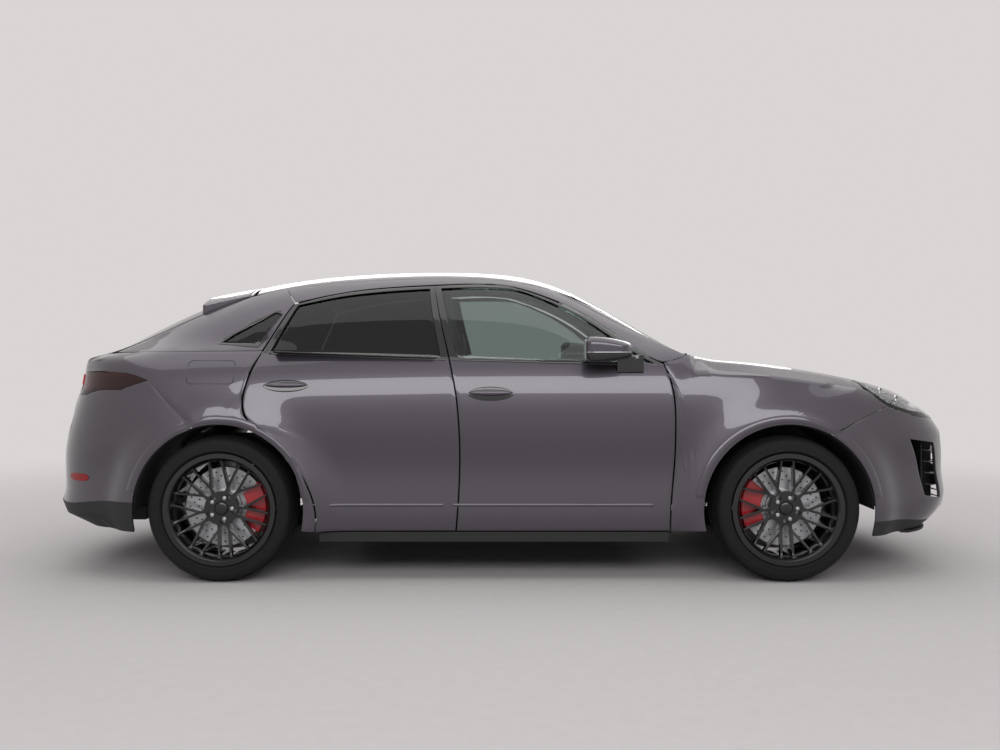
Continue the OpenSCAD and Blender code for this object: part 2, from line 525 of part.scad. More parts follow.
// the lamp's lower edge: its rows, and those of them that the wing meets
lamp_rows = 10;
wing_lamp_rows = 4;
lamp_line = line(side_points(lamp_low_shares), lamp_rows);
wing_top_shares = [0.41, 0.446, 0.4845, 0.523, 0.5615, 0.60, 0.6385, 0.677, 0.7155, 0.752];
wing_high = concat([for (i = [0:low_rows]) beside(line_a, half_gap)[i] - [0, fixed_gap]],
    [rail_upper[0] - [0, fixed_gap]],
    [for (s = wing_top_shares) bonnet_side(s * hl, half_gap)],
    [for (i = [0:wing_lamp_rows]) lamp_line[i]]);
wing_low = [for (i = [0:len(wing_high) - 1]) arch_point(front_axle_x,
    lerp(wing_foot_angle, wing_cut_angle, i / (len(wing_high) - 1)))];
wing_cols = [0, 0.12, 0.28, 0.46, 0.64, 0.82, 1];
module fenders() color(paint_colour) both_sides() {
    g = side_grid(wing_low, wing_high, wing_cols);
    deep = inset(g, panel_depth);
    last = len(wing_cols) - 1;
    panel(g, [for (i = [0:len(g) - 1]) [for (j = [0:last])
        j == last && i <= low_rows ? g[i][j] + [0, panel_depth, 0] : deep[i][j]]]);
}

// headlamp between bonnet edge and bumper
lamp_high = [for (i = [0:lamp_rows]) bonnet_side(hl * lerp(lamp_tip_share, lamp_nose_share,
    i / lamp_rows) + fixed_gap, half_gap)];
lamp_low = [for (q = beside(lamp_line, -fixed_gap)) q + [fixed_gap, 0]];
lamp_cols = [0, 0.33, 0.67, 1];
lamp_depth = 20;
module headlamps() color(glass_colour) both_sides() {
    g = side_grid(lamp_low, lamp_high, lamp_cols);
    panel(g, inset(g, lamp_depth));
}

// front bumper: rows from the lip up, columns from the arch to the middle line
bumper_rows = 10;
bumper_cols = 16;
lip_share = 0.138;
bumper_top_shares = [[0, 0.5445], [0.18, 0.519], [0.35, 0.504], [0.49, 0.498], [0.58, 0.509],
    [0.69, 0.535], [0.85, 0.533], [0.94, 0.5275], [1, 0.5205]];
// share of the bumper's side edge that follows the wheel arch, and the arch angle at its foot
bumper_arch_share = 0.8;
bumper_foot_angle = -17.5;
// the cut between bumper and wing, from the wheel arch up to the lamp
wing_cut = lamp_line[wing_lamp_rows] + [fixed_gap, -fixed_gap];
cut_foot = arch_point(front_axle_x, wing_cut_angle) + [fixed_gap, 0];
nose_angle = end_angle(wing_cut[0], wing_cut[1], true);
// the bumper's top edge runs along the lamp and then along the bonnet
function bumper_top(s) = let (q = nose_angle * (1 - s), a = body_height * at(bumper_top_shares, s),
    b = lookup(end_point(q, a, true)[0], lamp_line), x = end_point(q, b, true)[0])
    (x < lamp_line[lamp_rows][0] ? lookup(x, lamp_line) : a) - 2 * fixed_gap;
function bumper_side(t) = t < bumper_arch_share
    ? arch_point(front_axle_x, lerp(bumper_foot_angle, wing_cut_angle, t / bumper_arch_share))
    : lerp(cut_foot, wing_cut, (t - bumper_arch_share) / (1 - bumper_arch_share));
function bumper_point(t, s) = let (a = bumper_side(t), bottom = lip_share * body_height,
        top = bumper_top(s), h = clamp01((a[1] - bottom) / (top - bottom)),
        z = lerp(bottom, top, lerp(h, t, ease(s * 2))), q = end_angle(a[0], a[1], true))
    end_point(q * (1 - s), z, true);
front_bumper_grid = [for (i = [0:bumper_rows]) [for (j = [0:bumper_cols]) bumper_point(i / bumper_rows,
    j / bumper_cols)]];
module front_bumper() color(paint_colour) {
    g = concat_sides([for (row = front_bumper_grid) [for (p = row) [p[0], -p[1], p[2]]]]);
    panel(g, inset(g, panel_depth), [[3, 8, 5, 8], [3, 8, 24, 27], [5, 8, 10, 22], [2, 4, 10, 22]]);
}
// a right-hand grid ending on the middle line joined with its mirror image
function concat_sides(g) = let (n = len(g[0]) - 1) [for (row = g)
    concat(row, [for (j = [1:n]) let (p = row[n - j]) [p[0], -p[1], p[2]]])];
grille_shares = [[0.90, 0.945], [-0.60, 0.60], [0.19, 0.46]];
module grille() color(black_colour) block(grille_shares);

// rear bumper, open above for the tailgate
rear_lip_share = 0.152;
rear_top_shares = [[0, 0.645], [0.12, 0.60], [0.3, 0.597], [0.45, 0.578], [0.6, 0.578], [1, 0.578]];
rear_rows = 11;
rear_cols = 14;
rear_side_angle = 194.5;
rear_row_shares = [0, 0.09, 0.18, 0.27, 0.36, 0.45, 0.54, 0.63, 0.714, 0.80, 0.90, 1];
rear_gate_col = 9;
rear_gate_row = 8;
// share of the rear bumper's side edge that follows the wheel arch
rear_arch_share = 0.8;
rear_cut_run = [arch_point(-rear_axle_x, rear_cut_angle), side_points(rear_cut_shares)[0],
    side_points(rear_cut_shares)[1] - [0, 3 * fixed_gap]];
function rear_side(t) = t < rear_arch_share
    ? arch_point(-rear_axle_x, lerp(rear_side_angle, rear_cut_angle, t / rear_arch_share))
    : along(rear_cut_run, (t - rear_arch_share) / (1 - rear_arch_share));
function rear_point(t, s) = let (a = rear_side(t), bottom = rear_lip_share * body_height,
        top = body_height * at(rear_top_shares, s), h = clamp01((a[1] - bottom) / (top - bottom)),
        z = lerp(bottom, top, lerp(h, t, ease(s * 2))), q = end_angle(a[0], a[1], false))
    end_point(q * (1 - s), z, false);
rear_bumper_grid = [for (t = rear_row_shares) [for (j = [0:rear_cols]) rear_point(t, j / rear_cols)]];
module rear_bumper() color(paint_colour) {
    g = concat_sides(rear_bumper_grid);
    difference() {
        panel(g, inset(g, panel_depth),
            [[rear_gate_row, rear_rows, rear_gate_col, 2 * rear_cols - rear_gate_col]]);
        tip_rooms();
    }
}
module tip_rooms() both_sides() for (k = [0, 1]) tip_place(k) translate([0, 0, -exhaust_length])
    cylinder(h = 3 * exhaust_length, r = exhaust_radius + seam);
diffuser_shares = [[-0.922, -0.80], [-0.55, 0.55], [0.155, 0.20]];
module diffuser() color(black_colour) difference() {
    block(diffuser_shares);
    tip_rooms();
    slab(concat_sides(rear_bumper_grid), inset(concat_sides(rear_bumper_grid), panel_depth + seam));
}
exhaust_radius = 48;
exhaust_wall = 4;
exhaust_length = 150;
exhaust_y_share = 0.46;
exhaust_spread = 104;
exhaust_x_share = -0.965;
exhaust_z_share = 0.215;
module tip_place(k) translate([exhaust_x_share * hl, exhaust_y_share * hw + k * exhaust_spread,
    exhaust_z_share * body_height])
    rotate([0, 90, 0]) children();
module exhaust_tips() color(steel_colour) both_sides() for (k = [0, 1]) tip_place(k) difference() {
    cylinder(h = exhaust_length, r = exhaust_radius);
    cylinder(h = exhaust_length, r = exhaust_radius - exhaust_wall);
}

// tail lamps between the bumper and the rear quarter's lower edge
tail_lamp_rows = 3;
tail_lamp_angle = end_angle(rear_cut_shares[1][0] * hl, rear_cut_shares[1][1] * body_height, false);
tail_lamp_depth = 18;
rear_cut_line = [for (i = [len(rear_cut_shares) - 1:-1:0]) side_points(rear_cut_shares)[i]];
function tail_lamp_top(angle) = let (a = body_height * rear_cut_shares[2][1],
    z = lookup(end_point(angle, a, false)[0], rear_cut_line))
    lookup(end_point(angle, z, false)[0], rear_cut_line) - fixed_gap;
tail_lamp_grid = [for (k = [0:tail_lamp_rows]) [for (j = [0:rear_gate_col])
    let (angle = tail_lamp_angle * (1 - j / rear_cols), low = rear_bumper_grid[rear_rows][j][2] + fixed_gap)
    end_point(angle, lerp(low, max(tail_lamp_top(angle), low + fixed_gap), k / tail_lamp_rows), false)]];
module tail_lamps() color(red_colour) both_sides()
    panel(tail_lamp_grid, inset(tail_lamp_grid, tail_lamp_depth));

// tailgate: rows from its lower edge over the deck and the rear window to the roof
gate_low_shares = [0.462, 0.50, 0.54, 0.575, 0.61, 0.645, 0.675, 0.698];
gate_high_shares = [-0.903, -0.888, -0.858, -0.80, -0.735, -0.67, -0.605, -0.575, -0.556];
gate_cols = 10;
// edge of the tailgate's opening, as pairs of height and half width: bumper, tail lamp and rear quarter
gate_opening = concat([for (i = [rear_gate_row:rear_rows]) let (p = rear_bumper_grid[i][rear_gate_col])
        [p[2], -p[1]]],
    [for (k = [1:tail_lamp_rows - 1]) let (p = tail_lamp_grid[k][rear_gate_col]) [p[2], -p[1]]],
    [for (k = [len(quarter_cols) - 1:-1:0]) let (p = quarter_grid[len(quarter_grid) - 1][k])
        [p[2], -p[1]]]);
function gate_low(z, v) = let (y = v * (lookup(z, gate_opening) - panel_gap), w = section_y(z))
    [-(plan_start + (tail_x(z) - plan_start) * taper(abs(y) / w)), y, z];
// place along the car behind which the tailgate follows the lower body
gate_deck_share = -0.85;
function gate_high(x, v) = let (y = v * (tail_edge_y(x) - panel_gap),
    z = max(x < gate_deck_share * hl ? lower_z(x, y) : 0, cabin_z(x, y))) [x, y, z];
gate_grid = concat([for (s = gate_low_shares) [for (j = [0:gate_cols]) gate_low(s * body_height, lerp(-1,
    1, j / gate_cols))]],
    [for (s = gate_high_shares) [for (j = [0:gate_cols]) gate_high(s * hl, lerp(-1, 1, j / gate_cols))]]);
gate_hole = [10, 14, 1, gate_cols - 1];
gate_bracket_y_share = 0.32;
gate_lug_rise = 22;
gate_hinge_share = 0.574;
gate_hinge_x = gate_hinge_share * hl;
gate_hinge_z = cabin_z(-gate_hinge_x, gate_bracket_y_share * hw) - lid_depth - gate_hinge_drop;
module tailgate() color(paint_colour) {
    slab(gate_grid, inset(gate_grid, lid_depth), [gate_hole]);
    both_sides() difference() {
        translate([-gate_hinge_x - lug_half, -gate_bracket_y_share * hw + lid_bracket_width + lug_gap,
            gate_hinge_z - lug_half])
            cube([2 * lug_half, lid_bracket_width, lug_half + gate_lug_rise]);
        translate([-gate_hinge_x, -gate_bracket_y_share * hw, gate_hinge_z]) rotate([-90, 0, 0])
            cylinder(h = 3 * lid_bracket_width, r = pin_radius + running_gap);
    }
}
// header below the roof's rear edge, with swan-neck hinge brackets
header_x_shares = [-0.531, -0.505];
header_depth = 22;
header_seat = 1.5;
neck_drop = 62;
neck_depth = 16;
header_leg = 40;
header_mid_x = (header_x_shares[0] + header_x_shares[1]) / 2 * hl;
header_leg_top = cabin_z(header_mid_x, gate_bracket_y_share * hw) - panel_depth - header_seat
    - header_depth / 2;
module roof_header() color(black_colour) {
    whole = inset(roof_grid(header_x_shares[0] * hl, header_x_shares[1] * hl, 2, roof_cols, seam),
        panel_depth + header_seat);
    g = part_of(whole, 0, 2, 1, roof_cols - 1);
    slab(g, inset(g, header_depth));
    both_sides() translate([0, -gate_bracket_y_share * hw, gate_hinge_z]) {
        translate([-gate_hinge_x - pin_radius, 0, -neck_drop]) cube([2 * pin_radius, lid_bracket_width,
            neck_drop]);
        translate([-gate_hinge_x - pin_radius, 0, -neck_drop])
            cube([header_x_shares[1] * hl + gate_hinge_x, lid_bracket_width, neck_depth]);
        translate([header_x_shares[1] * hl - header_leg - pin_radius, 0, -neck_drop])
            cube([header_leg, lid_bracket_width, neck_drop + header_leg_top - gate_hinge_z]);
        translate([-gate_hinge_x, 0, 0]) rotate([-90, 0, 0])
            cylinder(h = 2 * lid_bracket_width + lug_gap, r = pin_radius);
    }
}
rear_glass_in = 4;
module rear_window() color(glass_colour) {
    h = gate_hole;
    w = [for (d = [rear_glass_in, rear_glass_in + glass_depth])
        trimmed(part_of(inset(gate_grid, d), h[0], h[1], h[2], h[3]), fixed_gap)];
    slab(w[0], w[1]);
}
spoiler_shares = [-0.566, -0.575, -0.605, -0.64, -0.668];
spoiler_lift_shares = [0.002, 0.004, 0.011, 0.022, 0.030];
module spoiler() color(paint_colour) {
    n = len(spoiler_shares) - 1;
    g = [for (i = [n:-1:0]) [for (j = [0:gate_cols]) gate_high(spoiler_shares[i] * hl, lerp(-1, 1,
        j / gate_cols))]];
    top = [for (i = [0:n]) [for (p = g[i]) p + [0, 0, spoiler_lift_shares[n - i] * body_height]]];
    slab(top, pushed(g, [0, 0, seam]));
}
lamp_bar_depth = 7;
module lamp_bar() color(red_colour) {
    g = part_of(gate_grid, 4, 5, 0, gate_cols);
    slab(inset(g, -lamp_bar_depth), inset(g, -seam));
}
// floor, tunnel, bulkheads and chassis legs
floor_shares = [
    [[-0.38, 0.36], [-0.79, 0.79], [0.137, 0.155]],
    [[-0.375, 0.355], [-0.13, 0.13], [0.15, 0.235]],
    [[0.345, 0.358], [-0.788, 0.788], [0.15, 0.60]],
    [[-0.39, -0.379], [-0.50, 0.50], [0.138, 0.398]],
    [[-0.93, -0.385], [-0.5045, 0.5045], [0.385, 0.40]],
    [[0.35, 0.89], [0.34, 0.42], [0.26, 0.32]],
    [[0.35, 0.89], [-0.42, -0.34], [0.26, 0.32]],
    [[0.88, 0.90], [-0.55, 0.55], [0.255, 0.34]],
    [[0.30, 0.356], [-0.80, -0.78], [0.1555, 0.595]],
    [[0.30, 0.356], [0.78, 0.80], [0.1555, 0.595]]];
post_face_share = 0.80;
module floor_pan() color(black_colour) {
    for (b = floor_shares) block(b);
    both_sides() for (z = hinge_heights) hinge_strap(front_hinge_x,
        (post_face_share - strap_in_share) * hw, z);
}
strap_in_share = 0.005;
sill_shares = [[-0.385, 0.342], [-0.935, -0.7905], [0.123, 0.155]];
module sills() color(black_colour) both_sides() block(sill_shares);
pillar_half = 76;
pillar_strap_y = 825;
b_pillar_gap = 12;
b_pillar_depth = 36;
module b_pillars() color(black_colour) both_sides() {
    g = [for (i = [0:door_rows]) [for (k = [1, -1]) let (x = line_b[i][0] + k * pillar_half,
        z = i == 0 ? sill_shares[2][1] * body_height + seam : line_b[i][1])
        [x, -skin_y(x, z) + (i > low_rows ? frame_depth : door_depth) + b_pillar_gap, z]]];
    slab(g, pushed(g, [0, b_pillar_depth, 0]));
    for (z = hinge_heights) hinge_strap(-rear_hinge_x, pillar_strap_y, z);
}
lid_bracket_width = 24;
lug_gap = 4;
bracket_share = 0.8;
bracket_half = bracket_share * pin_radius;
module cowl() color(black_colour) {
    block(cowl_shares);
    both_sides() {
        translate([bonnet_hinge_x - bracket_half, -lid_bracket_y_share * hw,
            cowl_shares[2][1] * body_height - pin_radius])
            cube([2 * bracket_half, lid_bracket_width,
                bonnet_hinge_z - cowl_shares[2][1] * body_height + pin_radius]);
        translate([bonnet_hinge_x, -lid_bracket_y_share * hw, bonnet_hinge_z]) rotate([-90, 0, 0])
            cylinder(h = 2 * lid_bracket_width + lug_gap, r = pin_radius);
    }
}
engine_shares = [[0.42, 0.80], [-0.30, 0.30], [0.1902, 0.60]];
module engine() color(steel_colour) block(engine_shares);
dash_shares = [[0.235, 0.34488], [-0.74, 0.74], [0.42, 0.63]];
module dashboard() color(trim_colour) block(dash_shares);
steering_x_share = 0.165;
steering_y_share = 0.37;
steering_z_share = 0.565;
steering_radius = 182;
steering_rim = 15;
steering_tilt = 66;
steering_hub = 55;
steering_column = 176;
steering_boss = 28;
module steering_wheel() color(black_colour)
    translate([steering_x_share * hl, steering_y_share * hw, steering_z_share * body_height]) rotate([0,
        steering_tilt, 0]) {
        rotate_extrude() translate([steering_radius, 0]) circle(steering_rim);
        cylinder(h = steering_column, r = steering_boss);
        translate([0, 0, -steering_rim]) cylinder(h = 2 * steering_rim, r = steering_hub);
        for (a = [0, 90, 180]) rotate([0, 0, a]) translate([0, -steering_rim, -steering_rim / 2])
            cube([steering_radius, 2 * steering_rim, steering_rim]);
    }
seat_shares = [[[-0.09, 0.11], [-0.62, -0.14], [0.24, 0.355]], [[-0.15, -0.09], [-0.62, -0.14], [0.26,
    0.68]],
    [[-0.13, -0.09], [-0.47, -0.29], [0.68, 0.80]]];
seat_rail_shares = [[-0.09, 0.09], [-0.55, -0.21], [0.1552, 0.24]];
module front_seats() color(trim_colour) both_sides() {
    for (b = seat_shares) block(b);
    block(seat_rail_shares);
}
bench_shares = [[[-0.36, -0.17], [-0.66, 0.66], [0.2352, 0.345]], [[-0.42, -0.36], [-0.66, 0.66], [0.41,
    0.68]],
    [[-0.375, -0.36], [-0.66, 0.66], [0.345, 0.41]]];
module rear_seat() color(trim_colour) for (b = bench_shares) block(b);

// wheel housings
liner_wall = 6;
liner_gap = 0.3;
front_liner_share = 0.4203;
rear_liner_share = 0.5048;
liner_out_share = 0.98;
module liner(axle, inner_share) translate([axle, -inner_share * hw, wheel_z]) rotate([90, 0, 0])
    rotate_extrude(angle = 180) translate([arch_radius - liner_gap - liner_wall, 0])
        square([liner_wall, (liner_out_share - inner_share) * hw]);
module arch_liners() color(black_colour) both_sides() {
    liner(front_axle_x, front_liner_share);
    liner(-rear_axle_x, rear_liner_share);
}

// front cross member with arms to the knuckles, and the rear axle with its carriers
frame_half = 98;
post_half = 49;
// a cross piece at an axle: its half length, and its width and height as shares
module cross_piece(axle, half, r) translate([axle - half, r[0][0] * hw, r[1][0] * body_height])
    cube([2 * half, (r[0][1] - r[0][0]) * hw, (r[1][1] - r[1][0]) * body_height]);
subframe_shares = [[-0.42, 0.42], [0.14, 0.19]];
subframe_post_shares = [[-0.415, -0.345], [0.19, 0.2598]];
arm_width = 70;
arm_depth = 26;
arm_start_share = 0.33;
module arm(axle, top) translate([axle - arm_width / 2, -wheel_mid_y + carrier_in, top - arm_depth])
    cube([arm_width, wheel_mid_y - carrier_in - arm_start_share * hw, arm_depth]);
module front_subframe() color(steel_colour) {
    cross_piece(front_axle_x, frame_half, subframe_shares);
    both_sides() cross_piece(front_axle_x, post_half, subframe_post_shares);
    both_sides() arm(front_axle_x, wheel_z - knuckle_height / 2 - seam);
}
axle_shaft_radius = 22;
axle_hub_radius = 60;
carrier_in = 60;
carrier_depth = 40;
rear_frame_shares = [[-0.35, 0.35], [0.17, 0.26]];
rear_post_shares = [[-0.34, -0.27], [0.26, 0.3848]];
module rear_axle() color(steel_colour) {
    cross_piece(-rear_axle_x, frame_half, rear_frame_shares);
    both_sides() cross_piece(-rear_axle_x, post_half, rear_post_shares);
    both_sides() arm(-rear_axle_x, wheel_z - axle_hub_radius + arm_depth);
    translate([-rear_axle_x, 0, wheel_z]) rotate([90, 0, 0])
        cylinder(h = 2 * (wheel_mid_y - carrier_in), r = axle_shaft_radius, center = true);
    both_sides() carrier(-rear_axle_x, rear_caliper_angle);
}
// hub carrier of one wheel: flange, stub axle through the disc and bracket behind the caliper
bracket_width = 64;
module carrier(axle, angle) translate([axle, -wheel_mid_y, wheel_z]) rotate([90, 0, 0]) {
    translate([0, 0, -carrier_in - carrier_depth]) cylinder(h = carrier_depth, r = axle_hub_radius);
    translate([0, 0, -carrier_in - carrier_depth])
        cylinder(h = carrier_in + carrier_depth + hat_depth, r = disc_bore - running_gap);
    rotate([0, 0, angle + caliper_span / 2])
        translate([0, -bracket_width / 2, -carrier_in - carrier_depth])
            cube([disc_radius - caliper_reach / 2, bracket_width,
                carrier_depth + carrier_in - disc_in - caliper_wall - seam]);
}
module knuckle() {
    carrier(front_axle_x, front_caliper_angle);
    translate([front_axle_x, -wheel_mid_y + carrier_in + carrier_depth / 2, wheel_z])
        cylinder(h = knuckle_height, r = axle_shaft_radius, center = true);
}
knuckle_height = 240;
module knuckle_fr() color(steel_colour) knuckle();
module knuckle_fl() color(steel_colour) mirror([0, 1, 0]) knuckle();

// brakes: disc with hat, and a caliper over a part of its rim
disc_depth = 34;
disc_in = 22;
hat_radius = 92;
hat_depth = 40;
disc_bore = 30;
module disc_solid(axle) translate([axle, -wheel_mid_y, wheel_z]) rotate([90, 0, 0]) difference() {
    union() {
        translate([0, 0, -disc_in]) cylinder(h = disc_depth, r = disc_radius);
        translate([0, 0, -disc_in]) cylinder(h = disc_in + hat_depth, r = hat_radius);
    }
    translate([0, 0, -disc_in]) cylinder(h = disc_in + hat_depth, r = disc_bore);
}
module disc_fr() color(steel_colour) disc_solid(front_axle_x);
module disc_fl() color(steel_colour) mirror([0, 1, 0]) disc_solid(front_axle_x);
module disc_rr() color(steel_colour) disc_solid(-rear_axle_x);
module disc_rl() color(steel_colour) mirror([0, 1, 0]) disc_solid(-rear_axle_x);
caliper_reach = 85;
caliper_wall = 34;
caliper_gap = 8;
caliper_span = 72;
module caliper(axle, angle) translate([axle, -wheel_mid_y, wheel_z]) rotate([90, 0, 0]) rotate([0, 0,
    angle])
    difference() {
        rotate_extrude(angle = caliper_span) translate([disc_radius - caliper_reach,
            -disc_in - caliper_wall])
            square([caliper_reach + caliper_wall / 2, disc_depth + 2 * caliper_wall]);
        translate([0, 0, -disc_in - caliper_gap])
            cylinder(h = disc_depth + 2 * caliper_gap, r = disc_radius + caliper_gap);
    }
front_caliper_angle = 140;
rear_caliper_angle = -36;
module caliper_fr() color(red_colour) caliper(front_axle_x, front_caliper_angle);
module caliper_fl() color(red_colour) mirror([0, 1, 0]) caliper(front_axle_x, front_caliper_angle);
module rear_calipers() color(red_colour) both_sides() caliper(-rear_axle_x, rear_caliper_angle);

// tyre and spoked rim, turned about the axle
flange_height = 16;
bead_radius = rim_radius - flange_height;
shoulder_share = 0.80;
tread_crown = 5;
// tyre wall: heights as shares of the tyre radius, half widths as shares of half the tyre width
wall_radius_shares = [0.83, 0.885, 0.93, 0.965];
wall_width_shares = [0.72, 0.78, 0.85, 0.86, 0.93];
module tyre_profile() {
    w = tyre_width / 2;
    bead = wall_width_shares[3] * w;
    inner = [for (k = [0:3]) wall_width_shares[k] * w];
    half = [[bead_radius, inner[1]], [wall_radius_shares[0] * tyre_radius, inner[2]],
        [wall_radius_shares[2] * tyre_radius, inner[0]]];
    outer = [[bead_radius, bead], [wall_radius_shares[1] * tyre_radius, w],
        [wall_radius_shares[3] * tyre_radius, wall_width_shares[4] * w],
        [tyre_radius - tread_crown, shoulder_share * w]];
    polygon(concat([for (p = outer) [p[0], -p[1]]], [[tyre_radius, 0]], [for (k = [3:-1:0]) outer[k]], half,
        [for (k = [2:-1:0]) [half[k][0], -half[k][1]]]));
}
module tyre_solid(axle) translate([axle, -wheel_mid_y, wheel_z]) rotate([90, 0, 0])
    rotate_extrude() tyre_profile();
module tyre_fr() color(black_colour) tyre_solid(front_axle_x);
module tyre_fl() color(black_colour) mirror([0, 1, 0]) tyre_solid(front_axle_x);
module tyre_rr() color(black_colour) tyre_solid(-rear_axle_x);
module tyre_rl() color(black_colour) mirror([0, 1, 0]) tyre_solid(-rear_axle_x);
well_depth = 18;
barrel_radius = bead_radius - well_depth;
barrel_wall = 8;
rim_face_out = 112;
hub_face = 84;
hub_step = 4;
spoke_depth = 34;
hub_radius = 88;
seat_gap = 0.3;
// stations across the rim, as shares of its half width
rim_shares = [0.5, 0.6, 0.8, 0.923, 0.967];
module rim_barrel() {
    z = [for (k = rim_shares) k * rim_half_width];
    seat = bead_radius - seat_gap;
    bore = barrel_radius - barrel_wall;
    rotate_extrude() polygon([[bore, -rim_half_width], [seat, -rim_half_width], [seat, -z[1]],
        [barrel_radius, -z[0]],
        [barrel_radius, z[0]], [seat, z[1]], [seat, z[3]], [rim_radius, z[4]], [rim_radius, rim_half_width],
        [bead_radius - barrel_wall, rim_half_width], [bore, z[2]]]);
}
spoke_bite = 5;
spoke_end_radius = barrel_radius - spoke_bite;
// half widths of a spoke at the hub, at its fork and at the rim, as shares of the spoke width
spoke_half_shares = [0.95, 0.5, 0.36];
spoke_root_share = 0.9;
function polar(r, a) = r * [cos(a), sin(a)];
function left_of(d) = unit([-d[1], d[0]]);
function cross_z(a, b) = a[0] * b[1] - a[1] * b[0];
// where the line from a along u meets the line from b along v
function crossing(a, u, b, v) = a + u * cross_z(b - a, v) / cross_z(u, v);
// outline of one forked spoke, its root towards the hub along +X
function fork_outline() = let (j = [fork_radius, 0], e = polar(spoke_end_radius,
    near_tip_angle - fork_angle),
        f = polar(spoke_end_radius, far_tip_angle - fork_angle), m = left_of(e - j), n = left_of(f - j),
        r = spoke_half_shares[0] * spoke_width, w = spoke_half_shares[1] * spoke_width,
            t = spoke_half_shares[2] * spoke_width,
        c = crossing(j + w * m, e + t * m - j - w * m, j - w * n, f - t * n - j + w * n))
    [[spoke_root_share * hub_radius, -r], j - w * m, e - t * m, e + t * m, c, f - t * n, f + t * n,
        j + w * n,
        [spoke_root_share * hub_radius, r]];
// dish that the spokes' faces follow, hub to rim
module spoke_dish() rotate_extrude() polygon([[spoke_root_share * hub_radius - spoke_width,
    hub_face - hub_step - spoke_depth],
    [fork_radius, hub_face - spoke_depth], [barrel_radius, rim_face_out - spoke_depth], [barrel_radius,
        rim_face_out],
    [fork_radius, hub_face - hub_step / 2], [spoke_root_share * hub_radius - spoke_width,
        hub_face - hub_step]]);
module spoke_fork() intersection() {
    linear_extrude(rim_half_width) polygon(fork_outline());
    spoke_dish();
}
module rim_hub() difference() {
    translate([0, 0, hat_depth + seam]) cylinder(h = hub_face - hat_depth, r = hub_radius);
    translate([0, 0, hat_depth]) cylinder(h = rim_face_out, r = hub_bore_radius);
    for (k = [0:bolt_count - 1]) rotate([0, 0, 360 * k / bolt_count]) translate([bolt_circle_radius, 0,
        hat_depth])
        cylinder(h = rim_face_out, r = bolt_hole_radius);
}
module rim_solid(axle, turn) translate([axle, -wheel_mid_y, wheel_z]) rotate([90, 0, 0]) {
    rim_barrel();
    rotate([0, 0, turn]) {
        rim_hub();
        for (k = [0:bolt_count - 1]) rotate([0, 0, 360 * k / bolt_count]) {
            rotate([0, 0, fork_angle]) spoke_fork();
            mirror([0, 1, 0]) rotate([0, 0, fork_angle]) spoke_fork();
        }
    }
}
front_wheel_turn = 270;
rear_wheel_turn = 276;
module rim_fr() color(black_colour) rim_solid(front_axle_x, front_wheel_turn);
module rim_fl() color(black_colour) mirror([0, 1, 0]) rim_solid(front_axle_x, front_wheel_turn);
module rim_rr() color(black_colour) rim_solid(-rear_axle_x, rear_wheel_turn);
module rim_rl() color(black_colour) mirror([0, 1, 0]) rim_solid(-rear_axle_x, rear_wheel_turn);

floor_pan();
sills();
roof_rails();
b_pillars();
quarter_panels();
rear_pillars();
roof();
roof_header();
fenders();
front_bumper();
grille();
rear_bumper();
diffuser();
exhaust_tips();
windscreen();
quarter_windows();
headlamps();
tail_lamps();
cowl();
engine();
dashboard();
steering_wheel();
front_seats();
rear_seat();
arch_liners();
front_subframe();
rear_axle();
rear_calipers();
knuckle_fr();
knuckle_fl();
caliper_fr();
caliper_fl();
tyre_fr();
tyre_fl();
tyre_rr();
tyre_rl();
rim_fr();
rim_fl();
rim_rr();
rim_rl();
disc_fr();
disc_fl();
disc_rr();
disc_rl();
door_fr();
door_fl();
door_rr();
door_rl();
glass_fr();
glass_fl();
glass_rr();
glass_rl();
mirror_fr();
mirror_fl();
bonnet();
tailgate();
rear_window();
spoiler();
lamp_bar();
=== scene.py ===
# %% [markdown]
# # A coupe sport utility vehicle
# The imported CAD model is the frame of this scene. Its bodies move on their hinges and axles, and every piece
# that is made here rides on one of them. The CAD panels give the shape, and this lesson gives them smooth
# skins, finishes and the small things that a car shows up close.

# %% Load the frame
import math
import bmesh
import bpy
from mathutils import Matrix, Vector
from mathutils.bvhtree import BVHTree


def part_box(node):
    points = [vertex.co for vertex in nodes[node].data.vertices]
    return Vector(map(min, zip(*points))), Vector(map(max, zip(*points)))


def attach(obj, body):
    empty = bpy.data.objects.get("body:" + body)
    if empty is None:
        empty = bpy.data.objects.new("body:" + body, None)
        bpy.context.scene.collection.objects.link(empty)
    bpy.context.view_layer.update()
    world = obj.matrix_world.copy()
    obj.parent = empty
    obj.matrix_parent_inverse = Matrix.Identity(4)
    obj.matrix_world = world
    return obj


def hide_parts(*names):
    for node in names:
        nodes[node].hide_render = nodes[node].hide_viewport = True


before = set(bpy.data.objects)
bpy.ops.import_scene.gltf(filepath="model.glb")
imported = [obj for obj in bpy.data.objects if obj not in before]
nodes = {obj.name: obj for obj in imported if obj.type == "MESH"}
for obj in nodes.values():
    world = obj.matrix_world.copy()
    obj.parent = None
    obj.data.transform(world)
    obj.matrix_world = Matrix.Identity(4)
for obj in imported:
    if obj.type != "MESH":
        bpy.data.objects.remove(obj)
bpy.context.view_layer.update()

# %% [markdown]
# ## The camera
# The photograph looks square at the car's right side from six metres, with the nose to the right. A level
# camera keeps upright lines upright. The picture's middle lies a little below the horizon, which a small lens
# shift gives without tilting the camera.

# %% Camera
camera = bpy.data.objects.new("camera", bpy.data.cameras.new("camera"))
bpy.context.scene.collection.objects.link(camera)
camera.location = (-0.022, -5.965, 1.148)
camera.rotation_euler = (math.radians(90), 0, 0)
camera.data.lens = 35.46
camera.data.sensor_width = 36
camera.data.shift_y = -0.018
bpy.context.scene.camera = camera
print("camera:", tuple(camera.location))

